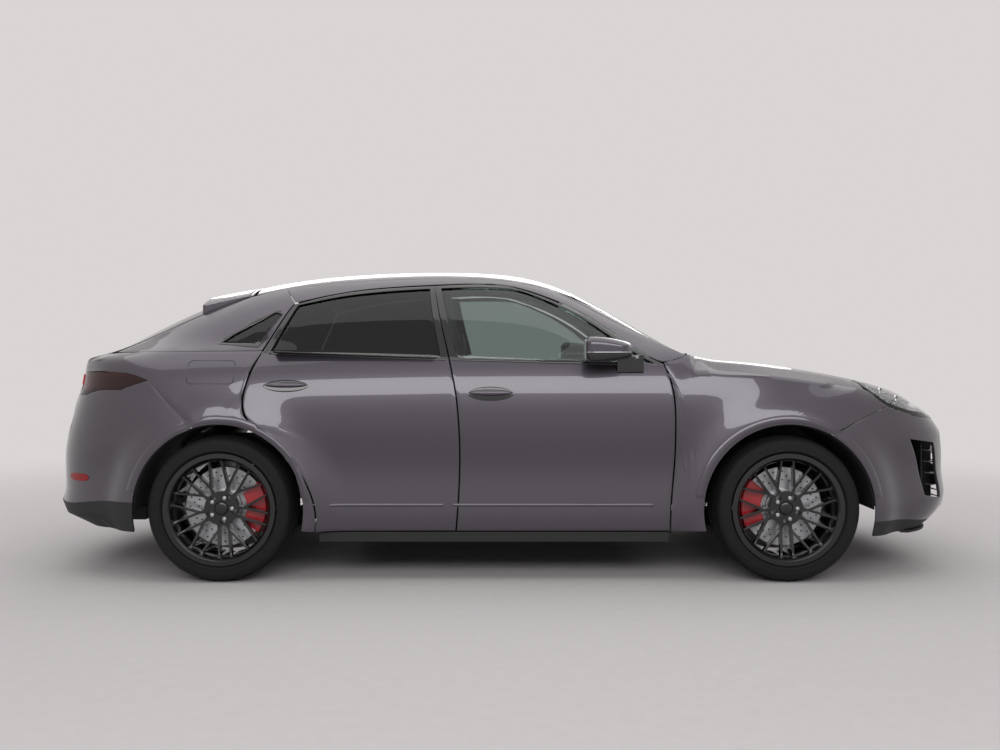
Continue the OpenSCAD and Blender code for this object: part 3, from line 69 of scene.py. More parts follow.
# %% [markdown]
# ## Studio
# A car's paint shows its curves by what it mirrors. Small lamps would give hard spots, so one very large soft
# lamp hangs above and a long one stands at each side, and their long calm reflections follow the panels. The
# floor and the world stay pale and plain.

# %% Colour and node helpers
def linear(hex_colour):
    """sRGB hex to the linear RGBA that nodes use."""
    parts = [int(hex_colour[i:i + 2], 16) / 255 for i in (1, 3, 5)]
    return tuple(c / 12.92 if c <= 0.04045 else ((c + 0.055) / 1.055) ** 2.4 for c in parts) + (1.0,)


def add_node(tree, kind, settings=None, inputs=None, onto=None):
    """One node with its settings. Inputs are values or sockets to link, and onto is a socket it feeds."""
    node = tree.nodes.new(kind)
    for name, value in (settings or {}).items():
        setattr(node, name, value)
    for name, value in (inputs or {}).items():
        if isinstance(value, bpy.types.NodeSocket):
            tree.links.new(value, node.inputs[name])
        else:
            node.inputs[name].default_value = value
    if onto is not None:
        tree.links.new(node.outputs[0], onto)
    return node


def new_material(name):
    """A node material with its tree, its Object coordinates and the output socket that takes a shader."""
    material = bpy.data.materials.new(name)
    material.use_nodes = True
    tree = material.node_tree
    tree.nodes.clear()
    place = add_node(tree, "ShaderNodeTexCoord").outputs["Object"]
    shown = add_node(tree, "ShaderNodeOutputMaterial").inputs["Surface"]
    return material, tree, place, shown


# %% Floor, world and lamps
# Near the car the floor is a real surface that takes shadows. Farther out it fades to the backdrop's colour.
backdrop_colour = linear("#d9d5d4")
floor_finish, tree, place, shown = new_material("pale_studio_floor")
speckle = add_node(tree, "ShaderNodeTexNoise", inputs={"Vector": place, "Scale": 1000 / 60, "Detail": 4.0})
floor_tone = add_node(tree, "ShaderNodeMix", {"data_type": "RGBA"}, {
    "Factor": speckle.outputs["Fac"], "A": linear("#c9c6c5"), "B": linear("#d1cecd")})
near = add_node(tree, "ShaderNodeBsdfDiffuse", inputs={"Color": floor_tone.outputs["Result"]})
far = add_node(tree, "ShaderNodeEmission", inputs={"Color": backdrop_colour, "Strength": 1.0})
reach = add_node(tree, "ShaderNodeVectorMath", {"operation": "LENGTH"}, {0: place})
fade = add_node(tree, "ShaderNodeMapRange", {"interpolation_type": "SMOOTHSTEP"}, {
    "Value": reach.outputs["Value"], "From Min": 2.6, "From Max": 7.5})
add_node(tree, "ShaderNodeMixShader", inputs={
    0: fade.outputs[0], 1: near.outputs[0], 2: far.outputs[0]}, onto=shown)
bm = bmesh.new()
bmesh.ops.create_circle(bm, cap_ends=True, segments=96, radius=14)
floor_mesh = bpy.data.meshes.new("floor")
bm.to_mesh(floor_mesh)
bm.free()
floor = bpy.data.objects.new("floor", floor_mesh)
floor_mesh.materials.append(floor_finish)
bpy.context.scene.collection.objects.link(floor)

# The camera, reflections and glass see the pale backdrop. The light that the world gives is a darker grey.
world = bpy.data.worlds.new("studio")
bpy.context.scene.world = world
world.use_nodes = True
tree = world.node_tree
tree.nodes.clear()
rays = add_node(tree, "ShaderNodeLightPath")
through = add_node(tree, "ShaderNodeMath", {"operation": "MAXIMUM"}, {
    0: rays.outputs["Is Glossy Ray"], 1: rays.outputs["Is Transmission Ray"]})
seen = add_node(tree, "ShaderNodeMath", {"operation": "MAXIMUM"}, {
    0: rays.outputs["Is Camera Ray"], 1: through.outputs[0]})
backdrop = add_node(tree, "ShaderNodeMix", {"data_type": "RGBA"}, {
    "Factor": seen.outputs[0], "A": linear("#a09da0"), "B": backdrop_colour})
shown = add_node(tree, "ShaderNodeOutputWorld").inputs["Surface"]
add_node(tree, "ShaderNodeBackground", inputs={
    "Color": backdrop.outputs["Result"], "Strength": 1.0}, onto=shown)

bpy.context.scene.view_settings.view_transform = "Standard"


def softbox(name, place, aim, size, watts):
    """A large rectangular studio lamp that looks at a point."""
    data = bpy.data.lights.new(name, "AREA")
    data.shape = "RECTANGLE"
    data.size, data.size_y = size
    data.energy = watts
    lamp = bpy.data.objects.new(name, data)
    lamp.location = place
    lamp.rotation_euler = (Vector(aim) - Vector(place)).to_track_quat("-Z", "Y").to_euler()
    bpy.context.scene.collection.objects.link(lamp)


softbox("ceiling", (0, 0, 6.0), (0, 0, 0), (12, 8), 260)
softbox("side_right", (0, -8.5, 4.6), (0, 0, 0.8), (10, 2.6), 330)
softbox("side_left", (0, 8.5, 4.6), (0, 0, 0.8), (10, 2.6), 220)
print("studio: 3 lamps")

# %% [markdown]
# ## Finishes
# Each finish starts from the real material. Scales come from sizes in millimetres: a pattern that repeats
# every s mm has a texture scale of 1000 / s, because the scene is in metres.

# %% Body paint
# Two-coat metallic enamel, sprayed: aluminium flakes under a clear coat. The flakes are finer than a pixel,
# so they are drawn at about 1.5 mm, and the clear coat has a faint orange-peel wave of about 12 mm.
paint, tree, place, shown = new_material("metallic_enamel_violet_grey")
flakes = add_node(tree, "ShaderNodeTexVoronoi", inputs={"Vector": place, "Scale": 1000 / 1.5})
tone = add_node(tree, "ShaderNodeMix", {"data_type": "RGBA"}, {
    "Factor": flakes.outputs["Color"], "A": linear("#413d45"), "B": linear("#4f4a53")})
peel = add_node(tree, "ShaderNodeTexNoise", inputs={"Vector": place, "Scale": 1000 / 12, "Detail": 1.0})
wave = add_node(tree, "ShaderNodeBump", inputs={
    "Height": peel.outputs["Fac"], "Strength": 0.015, "Distance": 0.001})
add_node(tree, "ShaderNodeBsdfPrincipled", inputs={
    "Base Color": tone.outputs["Result"], "Metallic": 0.72, "Roughness": 0.36, "Coat Weight": 1.0,
    "Coat Roughness": 0.03, "Coat Normal": wave.outputs[0]}, onto=shown)

# %% Dark finishes
# Piano-black moulded trim: a glossy lacquer with very faint dust scratches in its roughness.
gloss_black, tree, place, shown = new_material("lacquered_black_trim")
dust = add_node(tree, "ShaderNodeTexNoise", inputs={"Vector": place, "Scale": 1000 / 25, "Detail": 6.0})
haze = add_node(tree, "ShaderNodeMapRange", inputs={
    "Value": dust.outputs["Fac"], "To Min": 0.06, "To Max": 0.16})
add_node(tree, "ShaderNodeBsdfPrincipled", inputs={
    "Base Color": linear("#0d0d0f"), "Roughness": haze.outputs[0], "Coat Weight": 0.6,
    "Coat Roughness": 0.04}, onto=shown)

# Moulded polypropylene with a grain of about 1.4 mm that scatters the light.
black_plastic, tree, place, shown = new_material("grained_black_polypropylene")
grain = add_node(tree, "ShaderNodeTexVoronoi", inputs={"Vector": place, "Scale": 1000 / 1.4})
pores = add_node(tree, "ShaderNodeBump", inputs={
    "Height": grain.outputs["Distance"], "Strength": 0.35, "Distance": 0.0004})
add_node(tree, "ShaderNodeBsdfPrincipled", inputs={
    "Base Color": linear("#17181a"), "Roughness": 0.62, "Normal": pores.outputs[0]}, onto=shown)

# Vulcanised rubber: dull, with the faint mottling of a washed tyre.
rubber, tree, place, shown = new_material("tyre_rubber")
mottle = add_node(tree, "ShaderNodeTexNoise", inputs={"Vector": place, "Scale": 1000 / 40, "Detail": 5.0})
rubber_tone = add_node(tree, "ShaderNodeMix", {"data_type": "RGBA"}, {
    "Factor": mottle.outputs["Fac"], "A": linear("#111112"), "B": linear("#191919")})
add_node(tree, "ShaderNodeBsdfPrincipled", inputs={
    "Base Color": rubber_tone.outputs["Result"], "Roughness": 0.8, "Specular IOR Level": 0.3}, onto=shown)

# Powder-coated chassis steel, slightly rough, with a little road dust in the tone.
chassis_coat, tree, place, shown = new_material("powder_coated_chassis_steel")
road = add_node(tree, "ShaderNodeTexNoise", inputs={"Vector": place, "Scale": 1000 / 90, "Detail": 5.0})
coat_tone = add_node(tree, "ShaderNodeMix", {"data_type": "RGBA"}, {
    "Factor": road.outputs["Fac"], "A": linear("#1d1e20"), "B": linear("#303133")})
add_node(tree, "ShaderNodeBsdfPrincipled", inputs={
    "Base Color": coat_tone.outputs["Result"], "Metallic": 0.3, "Roughness": 0.6}, onto=shown)

# Wheel lacquer: black powder coat under clear, glossier than rubber so that the spokes' edges catch light.
wheel_black, tree, place, shown = new_material("black_wheel_lacquer")
film = add_node(tree, "ShaderNodeTexNoise", inputs={"Vector": place, "Scale": 1000 / 18, "Detail": 3.0})
film_haze = add_node(tree, "ShaderNodeMapRange", inputs={
    "Value": film.outputs["Fac"], "To Min": 0.18, "To Max": 0.3})
add_node(tree, "ShaderNodeBsdfPrincipled", inputs={
    "Base Color": linear("#0c0c0e"), "Metallic": 0.2, "Roughness": film_haze.outputs[0], "Coat Weight": 0.5,
    "Coat Roughness": 0.08}, onto=shown)
print("finishes: paint and dark finishes")

# %% Bright finishes
# Machined steel: a bright metal with a fine turned grain.
steel, tree, place, shown = new_material("machined_steel")
cuts = add_node(tree, "ShaderNodeTexNoise", inputs={"Vector": place, "Scale": 1000 / 6, "Detail": 4.0})
cut_haze = add_node(tree, "ShaderNodeMapRange", inputs={
    "Value": cuts.outputs["Fac"], "To Min": 0.28, "To Max": 0.45})
add_node(tree, "ShaderNodeBsdfPrincipled", inputs={
    "Base Color": linear("#b4b5b8"), "Metallic": 1.0, "Roughness": cut_haze.outputs[0]}, onto=shown)

# Chrome on the exhaust ends, lens rings, mirror lines and mirror glasses, with faint smears in its shine.
chrome, tree, place, shown = new_material("polished_chrome")
smear = add_node(tree, "ShaderNodeTexNoise", inputs={"Vector": place, "Scale": 1000 / 30, "Detail": 2.0})
smear_haze = add_node(tree, "ShaderNodeMapRange", inputs={
    "Value": smear.outputs["Fac"], "To Min": 0.06, "To Max": 0.14})
add_node(tree, "ShaderNodeBsdfPrincipled", inputs={
    "Base Color": linear("#cfd1d4"), "Metallic": 1.0, "Roughness": smear_haze.outputs[0]}, onto=shown)

# Brake paint: red enamel on a cast body, so its gloss is a little uneven.
brake_red, tree, place, shown = new_material("red_brake_enamel")
cast = add_node(tree, "ShaderNodeTexNoise", inputs={"Vector": place, "Scale": 1000 / 5, "Detail": 3.0})
cast_bump = add_node(tree, "ShaderNodeBump", inputs={
    "Height": cast.outputs["Fac"], "Strength": 0.15, "Distance": 0.0005})
add_node(tree, "ShaderNodeBsdfPrincipled", inputs={
    "Base Color": linear("#b01420"), "Roughness": 0.3, "Coat Weight": 0.5, "Coat Roughness": 0.1,
    "Normal": cast_bump.outputs[0]}, onto=shown)

# %% Glass
# Laminated glass with a green-grey tint in front, and darker privacy glass behind the front doors. The clear
# and red covers of the lamps are made in the same way.
def tinted_glass(name, colour):
    """A clear sheet of one tint, with a very slight wave of about 300 mm in its surface."""
    material, tree, place, shown = new_material(name)
    sag = add_node(tree, "ShaderNodeTexNoise", inputs={"Vector": place, "Scale": 1000 / 300, "Detail": 0.0})
    ripple = add_node(tree, "ShaderNodeBump", inputs={
        "Height": sag.outputs["Fac"], "Strength": 0.02, "Distance": 0.002})
    add_node(tree, "ShaderNodeBsdfPrincipled", inputs={
        "Base Color": linear(colour), "Roughness": 0.0, "IOR": 1.45, "Transmission Weight": 1.0,
        "Normal": ripple.outputs[0]}, onto=shown)
    return material


clear_glass = tinted_glass("tinted_laminated_glass", "#a9b5b2")
privacy_glass = tinted_glass("dark_privacy_glass", "#2c2b31")
lamp_glass = tinted_glass("clear_polycarbonate", "#eef1f2")
red_glass = tinted_glass("smoked_red_polycarbonate", "#8a2026")
print("finishes: bright finishes and glass")

# %% Lamp finishes
# Prismatic red reflector: moulded cells of about 6 mm that throw light back.
red_reflector, tree, place, shown = new_material("red_prism_reflector")
prisms = add_node(tree, "ShaderNodeTexVoronoi", inputs={"Vector": place, "Scale": 1000 / 6})
facets = add_node(tree, "ShaderNodeBump", inputs={
    "Height": prisms.outputs["Distance"], "Strength": 0.5, "Distance": 0.002})
add_node(tree, "ShaderNodeBsdfPrincipled", inputs={
    "Base Color": linear("#8c0f16"), "Metallic": 0.4, "Roughness": 0.22,
    "Normal": facets.outputs[0]}, onto=shown)

# Light guide: frosted acrylic that looks pale when it is off.
light_guide, tree, place, shown = new_material("frosted_acrylic")
frost = add_node(tree, "ShaderNodeTexNoise", inputs={"Vector": place, "Scale": 1000 / 2, "Detail": 2.0})
frosted = add_node(tree, "ShaderNodeMapRange", inputs={
    "Value": frost.outputs["Fac"], "To Min": 0.3, "To Max": 0.45})
add_node(tree, "ShaderNodeBsdfPrincipled", inputs={
    "Base Color": linear("#dfe3e6"), "Roughness": frosted.outputs[0], "Subsurface Weight": 0.2}, onto=shown)

# %% Cabin finishes
# Nappa leather: soft, with a pebble grain of about 2.2 mm.
leather, tree, place, shown = new_material("black_nappa_leather")
pebble = add_node(tree, "ShaderNodeTexVoronoi", {"feature": "SMOOTH_F1"}, {
    "Vector": place, "Scale": 1000 / 2.2})
pebble_bump = add_node(tree, "ShaderNodeBump", inputs={
    "Height": pebble.outputs["Distance"], "Strength": 0.3, "Distance": 0.0005})
add_node(tree, "ShaderNodeBsdfPrincipled", inputs={
    "Base Color": linear("#212022"), "Roughness": 0.5, "Normal": pebble_bump.outputs[0]}, onto=shown)

# Knitted headliner, dark grey: a short pile of about 3 mm that takes the shine away.
headliner, tree, place, shown = new_material("knitted_headliner")
knit = add_node(tree, "ShaderNodeTexNoise", inputs={"Vector": place, "Scale": 1000 / 3, "Detail": 2.0})
knit_tone = add_node(tree, "ShaderNodeMix", {"data_type": "RGBA"}, {
    "Factor": knit.outputs["Fac"], "A": linear("#2b2a2d"), "B": linear("#3a393c")})
add_node(tree, "ShaderNodeBsdfPrincipled", inputs={
    "Base Color": knit_tone.outputs["Result"], "Roughness": 0.9, "Sheen Weight": 0.3}, onto=shown)
print("finishes: lamps and cabin")

# %% [markdown]
# ## Body skins
# Pressed panels flow in one curve from edge to edge. A CAD panel here is a closed slab of flat facets on a
# regular grid, so a copy of it can be welded, its triangles joined to quads, its rims creased and the rest
# subdivided into a smooth skin. The crease keeps the shut lines where the CAD has them.

# %% Skin helper
fold_angle = math.radians(38)
panel_edge_radius = 0.0015


def welded_copy(node):
    """A bmesh of a CAD node with shared vertices and quads where two triangles make one."""
    bm = bmesh.new()
    bm.from_mesh(nodes[node].data)
    bmesh.ops.remove_doubles(bm, verts=bm.verts, dist=1e-5)
    bmesh.ops.join_triangles(
        bm, faces=bm.faces, angle_face_threshold=math.radians(30), angle_shape_threshold=math.radians(50),
        cmp_seam=False, cmp_sharp=False, cmp_uvs=False, cmp_vcols=False, cmp_materials=False)
    return bm


def piece(name, bm, materials, body):
    """A finished piece at the origin that rides on a body."""
    mesh = bpy.data.meshes.new(name)
    bm.to_mesh(mesh)
    bm.free()
    for material in materials:
        mesh.materials.append(material)
    mesh.shade_smooth()
    obj = bpy.data.objects.new(name, mesh)
    bpy.context.scene.collection.objects.link(obj)
    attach(obj, body)
    return obj


def rounded(obj, width, segments=2, angle=50):
    """Finishes a piece's sharp edges with a small radius."""
    bevel = obj.modifiers.new("edge_radius", "BEVEL")
    bevel.width = width
    bevel.segments = segments
    bevel.limit_method = "ANGLE"
    bevel.angle_limit = math.radians(angle)


def smoothed(obj, levels):
    """Subdivides a piece, the same in the view and in the render."""
    subdivision = obj.modifiers.new("smooth", "SUBSURF")
    subdivision.levels = levels
    subdivision.render_levels = levels


def thickened(obj, depth, offset):
    """Gives a sheet a thickness: about itself with an offset of 0, behind itself with -1."""
    thick = obj.modifiers.new("thickness", "SOLIDIFY")
    thick.thickness = depth
    thick.offset = offset


def skin(name, node, body, materials, pick=None):
    """A smooth skin that stands for a CAD panel. pick gives the material's index from a face."""
    bm = welded_copy(node)
    crease_layer = bm.edges.layers.float.new("crease_edge")
    for edge in bm.edges:
        if len(edge.link_faces) == 2 and edge.calc_face_angle(0) > fold_angle:
            edge[crease_layer] = 1.0
    if pick:
        for face in bm.faces:
            face.material_index = pick(face)
    obj = piece(name, bm, materials, body)
    smoothed(obj, 2)
    rounded(obj, panel_edge_radius)
    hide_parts(node)


# %% Doors
# A door is painted below the belt line, black around its window, and trimmed inside.
belt_points = [(0.820, 1.116), (-0.286, 1.144), (-1.260, 1.179)]


def belt_z(x):
    """Height of the belt line at a place along the car."""
    (x0, z0), (x1, z1), (x2, z2) = belt_points
    if x > x1:
        return z1 + (z0 - z1) * (x - x1) / (x0 - x1)
    return z1 + (z2 - z1) * (x - x1) / (x2 - x1)


def door_finish(side):
    """Paint 0, black frame 1, inner trim 2, by a face's place and direction. side is -1 on the right."""
    def pick(face):
        middle = face.calc_center_median()
        if middle.z > belt_z(middle.x) + 0.002:
            return 1
        return 2 if face.normal.y * side < -0.3 else 0
    return pick


for node, body, side in (("door_fr", "door_front_right", -1), ("door_fl", "door_front_left", 1),
                         ("door_rr", "door_rear_right", -1), ("door_rl", "door_rear_left", 1)):
    skin(node + "_skin", node, body, [paint, gloss_black, leather], door_finish(side))
print("doors: 4 skins")

# %% Fixed panels, bonnet and tailgate
def lined(face):
    """Paint 0 outside, and headliner 1 on faces that look down into the cabin."""
    return 1 if face.normal.z < -0.35 else 0


def black_below(height):
    """Paint 0 above a height, and black plastic 1 below it."""
    return lambda face: 1 if face.calc_center_median().z < height else 0


for node in ("roof_rails", "quarter_panels", "rear_pillars", "fenders"):
    skin(node + "_skin", node, "body", [paint])
skin("front_bumper_skin", "front_bumper", "body", [paint, black_plastic], black_below(0.285))
skin("rear_bumper_skin", "rear_bumper", "body", [paint, black_plastic], black_below(0.400))
skin("roof_skin", "roof", "body", [paint, headliner], lined)
skin("bonnet_skin", "bonnet", "bonnet", [paint])
skin("tailgate_skin", "tailgate", "tailgate", [paint])
skin("spoiler_skin", "spoiler", "tailgate", [paint])
print("panels: 10 skins")

# %% Windows
panes = (("glass_fr", "door_front_right", clear_glass), ("glass_fl", "door_front_left", clear_glass),
         ("glass_rr", "door_rear_right", privacy_glass), ("glass_rl", "door_rear_left", privacy_glass),
         ("windscreen", "body", clear_glass), ("quarter_windows", "body", privacy_glass),
         ("rear_window", "tailgate", privacy_glass))
for node, body, glass in panes:
    skin(node + "_pane", node, body, [glass])
print("windows: 7 panes")

# %% [markdown]
# ## Laying trim on the skins
# Trim is clipped or glued to a panel and follows its curve. A ray from outside finds the panel at a place, so
# a strip or a cover can be laid on it without guessing its depth. The car is mirror-symmetric, so every place
# is found on the right side and mirrored for the left.

# %% Ray, patch, bead and turning helpers
ends = {"right": -1, "left": 1}


def search_trees(*names):
    """Ray-search trees of finished pieces."""
    graph = bpy.context.evaluated_depsgraph_get()
    return [BVHTree.FromObject(bpy.data.objects[name], graph) for name in names]


def landing(trees, start, way):
    """Where a ray first meets one of the pieces, or None."""
    hits = [tree.ray_cast(Vector(start), Vector(way)) for tree in trees]
    hits = [hit for hit in hits if hit[0] is not None]
    return min(hits, key=lambda hit: hit[3])[0] if hits else None


def crown(v):
    """A bow across a strip, from 0 at its edges to 1 in the middle."""
    return 1 - (2 * v - 1) ** 2


side_trees = search_trees("door_fr_skin", "door_rr_skin", "fenders_skin", "quarter_panels_skin",
                          "rear_pillars_skin", "front_bumper_skin", "rear_bumper_skin")


def on_side(x, z, out=0.0):
    """A place on the right side's skin, moved outwards.

    A ray that falls into a shut line looks a little aside.
    """
    for aside in (0.0, 0.012, -0.012, 0.03, -0.03):
        spot = landing(side_trees, (x + aside, -2, z), (0, 1, 0))
        if spot and spot.y < -0.55:
            return Vector((x, spot.y - out, z))
    return Vector((x, -0.9 - out, z))


def patch(name, place, cols, rows, material, body, depth=0.003, flip=False, radius=0.0008):
    """A sheet laid by place(u, v) and given a thickness about itself. flip mirrors it to the left side."""
    bm = bmesh.new()
    bmesh.ops.create_grid(bm, x_segments=cols, y_segments=rows, size=0.5)
    for vert in bm.verts:
        spot = place(vert.co.x + 0.5, vert.co.y + 0.5)
        vert.co = (spot[0], -spot[1] if flip else spot[1], spot[2])
    obj = piece(name, bm, [material], body)
    thickened(obj, depth, 0)
    rounded(obj, radius)
    return obj


def bead(name, points, radius, material, body, flip=False, closed=False):
    """A round bead or rod through points. flip mirrors it to the left side."""
    curve = bpy.data.curves.new(name, "CURVE")
    curve.dimensions = "3D"
    curve.bevel_depth = radius
    curve.bevel_resolution = 2
    curve.use_fill_caps = True
    line = curve.splines.new("POLY")
    line.points.add(len(points) - 1)
    for spot, point in zip(points, line.points):
        point.co = (spot[0], -spot[1] if flip else spot[1], spot[2], 1)
    line.use_cyclic_u = closed
    drawn = bpy.data.objects.new(name + "_line", curve)
    bm = bmesh.new()
    bm.from_mesh(bpy.data.meshes.new_from_object(drawn))
    bpy.data.objects.remove(drawn)
    bmesh.ops.remove_doubles(bm, verts=bm.verts, dist=1e-6)
    bmesh.ops.recalc_face_normals(bm, faces=bm.faces)
    piece(name, bm, [material], body)


def turned(profile, centre, axis, steps):
    """A bmesh turned from (radius, along) pairs about an axis through a centre."""
    bm = bmesh.new()
    across = Vector(axis).orthogonal().normalized()
    spots = [Vector(centre) + across * radius + Vector(axis) * along for radius, along in profile]
    line = [bm.verts.new(spot) for spot in spots]
    edges = [bm.edges.new(pair) for pair in zip(line, line[1:])]
    bmesh.ops.spin(bm, geom=line + edges, cent=centre, axis=axis, dvec=(0, 0, 0), angle=math.tau, steps=steps,
                   use_merge=True)
    bmesh.ops.remove_doubles(bm, verts=bm.verts, dist=1e-6)
    bmesh.ops.recalc_face_normals(bm, faces=bm.faces)
    return bm


def repeated(bm, geom, centre, axis, count):
    """Copies geometry round an axis until there are count of it, evenly spaced."""
    bmesh.ops.spin(bm, geom=geom, cent=centre, axis=axis, dvec=(0, 0, 0), steps=count - 1,
                   angle=math.tau * (count - 1) / count, use_duplicate=True)


# %% [markdown]
# ## Wheels
# A wide road tyre has flat ribs between four grooves, slotted shoulders and a rounded wall with a raised rim
# guard. It is a body of revolution, so half its outline is drawn, mirrored and turned, and the slots are set
# into the shoulder faces. The wheel keeps its CAD shape and gets a plain centre cap, five bolts and the
# drilled rings of the brake disc, whose holes are thin black dots of painted shade.

# %% Tyres
front_axle = 1.445
rear_axle = -1.450
half_track = 0.832
axle_height = 0.372
wheels = {"fr": (front_axle, -1, "wheel_front_right"), "fl": (front_axle, 1, "wheel_front_left"),
          "rr": (rear_axle, -1, "wheel_rear_right"), "rl": (rear_axle, 1, "wheel_rear_left")}
half_outline = [(0.3720, 0.000), (0.3720, 0.017), (0.3640, 0.019), (0.3640, 0.029), (0.3716, 0.031),
                (0.3706, 0.066), (0.3630, 0.068), (0.3630, 0.077), (0.3698, 0.079), (0.3665, 0.108),
                (0.3600, 0.124), (0.3500, 0.1345), (0.3360, 0.1405), (0.3180, 0.1425), (0.3050, 0.1408),
                (0.3035, 0.1418), (0.2995, 0.1415), (0.2980, 0.1385), (0.2900, 0.1270), (0.2875, 0.1160)]
tyre_outline = [(radius, -along) for radius, along in reversed(half_outline)] + half_outline[1:]
tyre_outline.append(tyre_outline[0])


def wheel_centre(x, side):
    """The middle of a wheel."""
    return Vector((x, side * half_track, axle_height))


def on_shoulder(face, centre):
    """True for the faces between a tyre's outer groove and its wall."""
    away = face.calc_center_median() - centre
    return 0.079 < abs(away.y) < 0.124 and away.xz.length > 0.355


for corner, (x, side, body) in wheels.items():
    centre = wheel_centre(x, side)
    bm = turned(tyre_outline, centre, (0, 1, 0), 96)
    shoulder = [face for face in bm.faces if on_shoulder(face, centre)]
    bmesh.ops.inset_individual(bm, faces=shoulder, thickness=0.0045, depth=-0.004)
    tyre = piece("tyre_" + corner + "_tread", bm, [rubber], body)
    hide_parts("tyre_" + corner)
print("tyres: 4")

# %% Centre caps, bolts and the painted shade of the disc holes
cap_outline = [(0.0, 0.0925), (0.016, 0.0923), (0.028, 0.0905), (0.0335, 0.087), (0.0345, 0.083),
               (0.0345, 0.074), (0.0, 0.074)]
bolt_count = 5
bolt_circle = 0.056
bolt_height = 0.086
disc_face = 0.0122
holes_per_ring = 24
hole_rings = ((0.138, 0.0), (0.160, 0.13), (0.182, 0.26))
for corner, (x, side, body) in wheels.items():
    centre = wheel_centre(x, side)
    outwards = Vector((0, side, 0))
    upright = Matrix.Rotation(math.radians(-90 * side), 4, "X")
    piece("cap_" + corner, turned(cap_outline, centre, outwards, 40), [wheel_black], body)

    bolt_place = Matrix.Translation(centre + outwards * bolt_height + Vector((bolt_circle, 0, 0)))
    bm = bmesh.new()
    bmesh.ops.create_cone(bm, cap_ends=True, segments=6, radius1=0.0125, radius2=0.0105, depth=0.016,
                          matrix=bolt_place @ upright)
    repeated(bm, bm.verts[:] + bm.edges[:] + bm.faces[:], centre, outwards, bolt_count)
    rounded(piece("bolts_" + corner, bm, [steel], body), 0.001)

    # The disc is not drilled: each hole is a thin black dot on its face, painted shade where a hole would be.
    bm = bmesh.new()
    for ring, start in hole_rings:
        face_middle = Matrix.Translation(centre + outwards * disc_face)
        hole_place = face_middle @ Matrix.Rotation(start, 4, outwards) @ Matrix.Translation((ring, 0, 0))
        drilled = bmesh.ops.create_cone(bm, cap_ends=True, segments=12, radius1=0.0045, radius2=0.0045,
                                        depth=0.0012, matrix=hole_place @ upright)["verts"]
        around = list({face for vert in drilled for face in vert.link_faces})
        edges = list({edge for face in around for edge in face.edges})
        repeated(bm, drilled + edges + around, centre, outwards, holes_per_ring)
    piece("disc_hole_shade_" + corner, bm, [black_plastic], body)
print("wheels: caps, bolts and drilled rings on 4")

# %% [markdown]
# ## Lamps
# A headlamp is a clear moulded cover over a dark housing, with lens units and a light guide inside. The CAD
# lamp is one solid slab, so the faces that look outwards are taken from it twice: once as the cover, and once
# a little deeper as the housing. The tail lamps are made the same way with a red cover over a prismatic
# reflector.

# %% Lamp covers and housings
lamp_wall = 0.003
head_look = (0.6, 0.6, 0.5)
tail_look = (-0.7, 0.7, 0.1)


def outer_sheet(node, side, look, inwards):
    """The faces of a CAD node on one side that look a way, as a sheet moved inwards."""
    bm = welded_copy(node)
    look = Vector((look[0], look[1] * side, look[2])).normalized()
    spare = [face for face in bm.faces
             if face.calc_center_median().y * side < 0 or face.normal.dot(look) < 0.3]
    bmesh.ops.delete(bm, geom=spare, context="FACES")
    bm.normal_update()
    for vert, step in [(vert, vert.normal * inwards) for vert in bm.verts]:
        vert.co -= step
    return bm


def lamp_layer(name, node, side, look, inwards, material):
    """One layer of a lamp: a sheet of its outer face with a thickness behind it."""
    obj = piece(name, outer_sheet(node, side, look, inwards), [material], "body")
    thickened(obj, lamp_wall, -1)
    rounded(obj, 0.001)
    return obj


for end, side in ends.items():
    cover = lamp_layer("headlamp_cover_" + end, "headlamps", side, head_look, 0.0, lamp_glass)
    lamp_layer("headlamp_housing_" + end, "headlamps", side, head_look, 0.0165, gloss_black)
    red_cover = lamp_layer("tail_lamp_cover_" + end, "tail_lamps", side, tail_look, 0.0, red_glass)
    lamp_layer("tail_lamp_reflector_" + end, "tail_lamps", side, tail_look, 0.012, red_reflector)
    if side < 0:
        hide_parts("headlamps")
        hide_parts("tail_lamps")
print("lamps: covers and housings")

# %% Lens units and light guides
housing_trees = search_trees("headlamp_housing_right")
lens_outline = [(0.0, 0.0125), (0.012, 0.0115), (0.021, 0.008), (0.025, 0.003), (0.025, 0.0), (0.0, 0.0)]
bezel_outline = [(0.026, 0.0), (0.026, 0.006), (0.029, 0.007), (0.032, 0.005), (0.032, 0.0), (0.026, 0.0)]
lens_places = ((2.005, 0.955), (2.085, 0.915))
guide_places = ((1.905, 0.985), (1.955, 0.935), (2.020, 0.896), (2.100, 0.868), (2.170, 0.850))
for end, side in ends.items():
    for index, (x, z) in enumerate(lens_places):
        spot = landing(housing_trees, (x, -2, z), (0, 1, 0))
        centre = Vector((spot.x, spot.y * -side, spot.z))
        axis = Vector((0.75, -0.6, 0.25)).normalized()
        axis.y *= -side
        piece(f"lens_{end}_{index}", turned(lens_outline, centre, axis, 32), [lamp_glass], "body")
        piece(f"bezel_{end}_{index}", turned(bezel_outline, centre, axis, 32), [chrome], "body")
    spots = [landing(housing_trees, (x, -2, z), (0, 1, 0)) for x, z in guide_places]
    guide = [spot + Vector((0.004, -0.004, 0.003)) for spot in spots if spot]
    bead("light_guide_" + end, guide, 0.005, light_guide, "body", flip=side > 0)
print("lamps: lens units and light guides")

# %% [markdown]
# ## Side trim
# The doors carry lens-shaped handles, each a black cup of painted shade for its recess with a painted pull bar
# over it, a belt strip under the glass, and the mirrors. The fuel flap shows only its outline, a black line of
# painted shade for its shut gap. All of it is laid on the skins that were made above.

# %% Door handles
def lens_height(u):
    """Half height of the handle's outline along its length, low at the tips and 1 in the middle."""
    return max(0.03, (1 - abs(2 * u - 1) ** 2.2)) ** 0.62


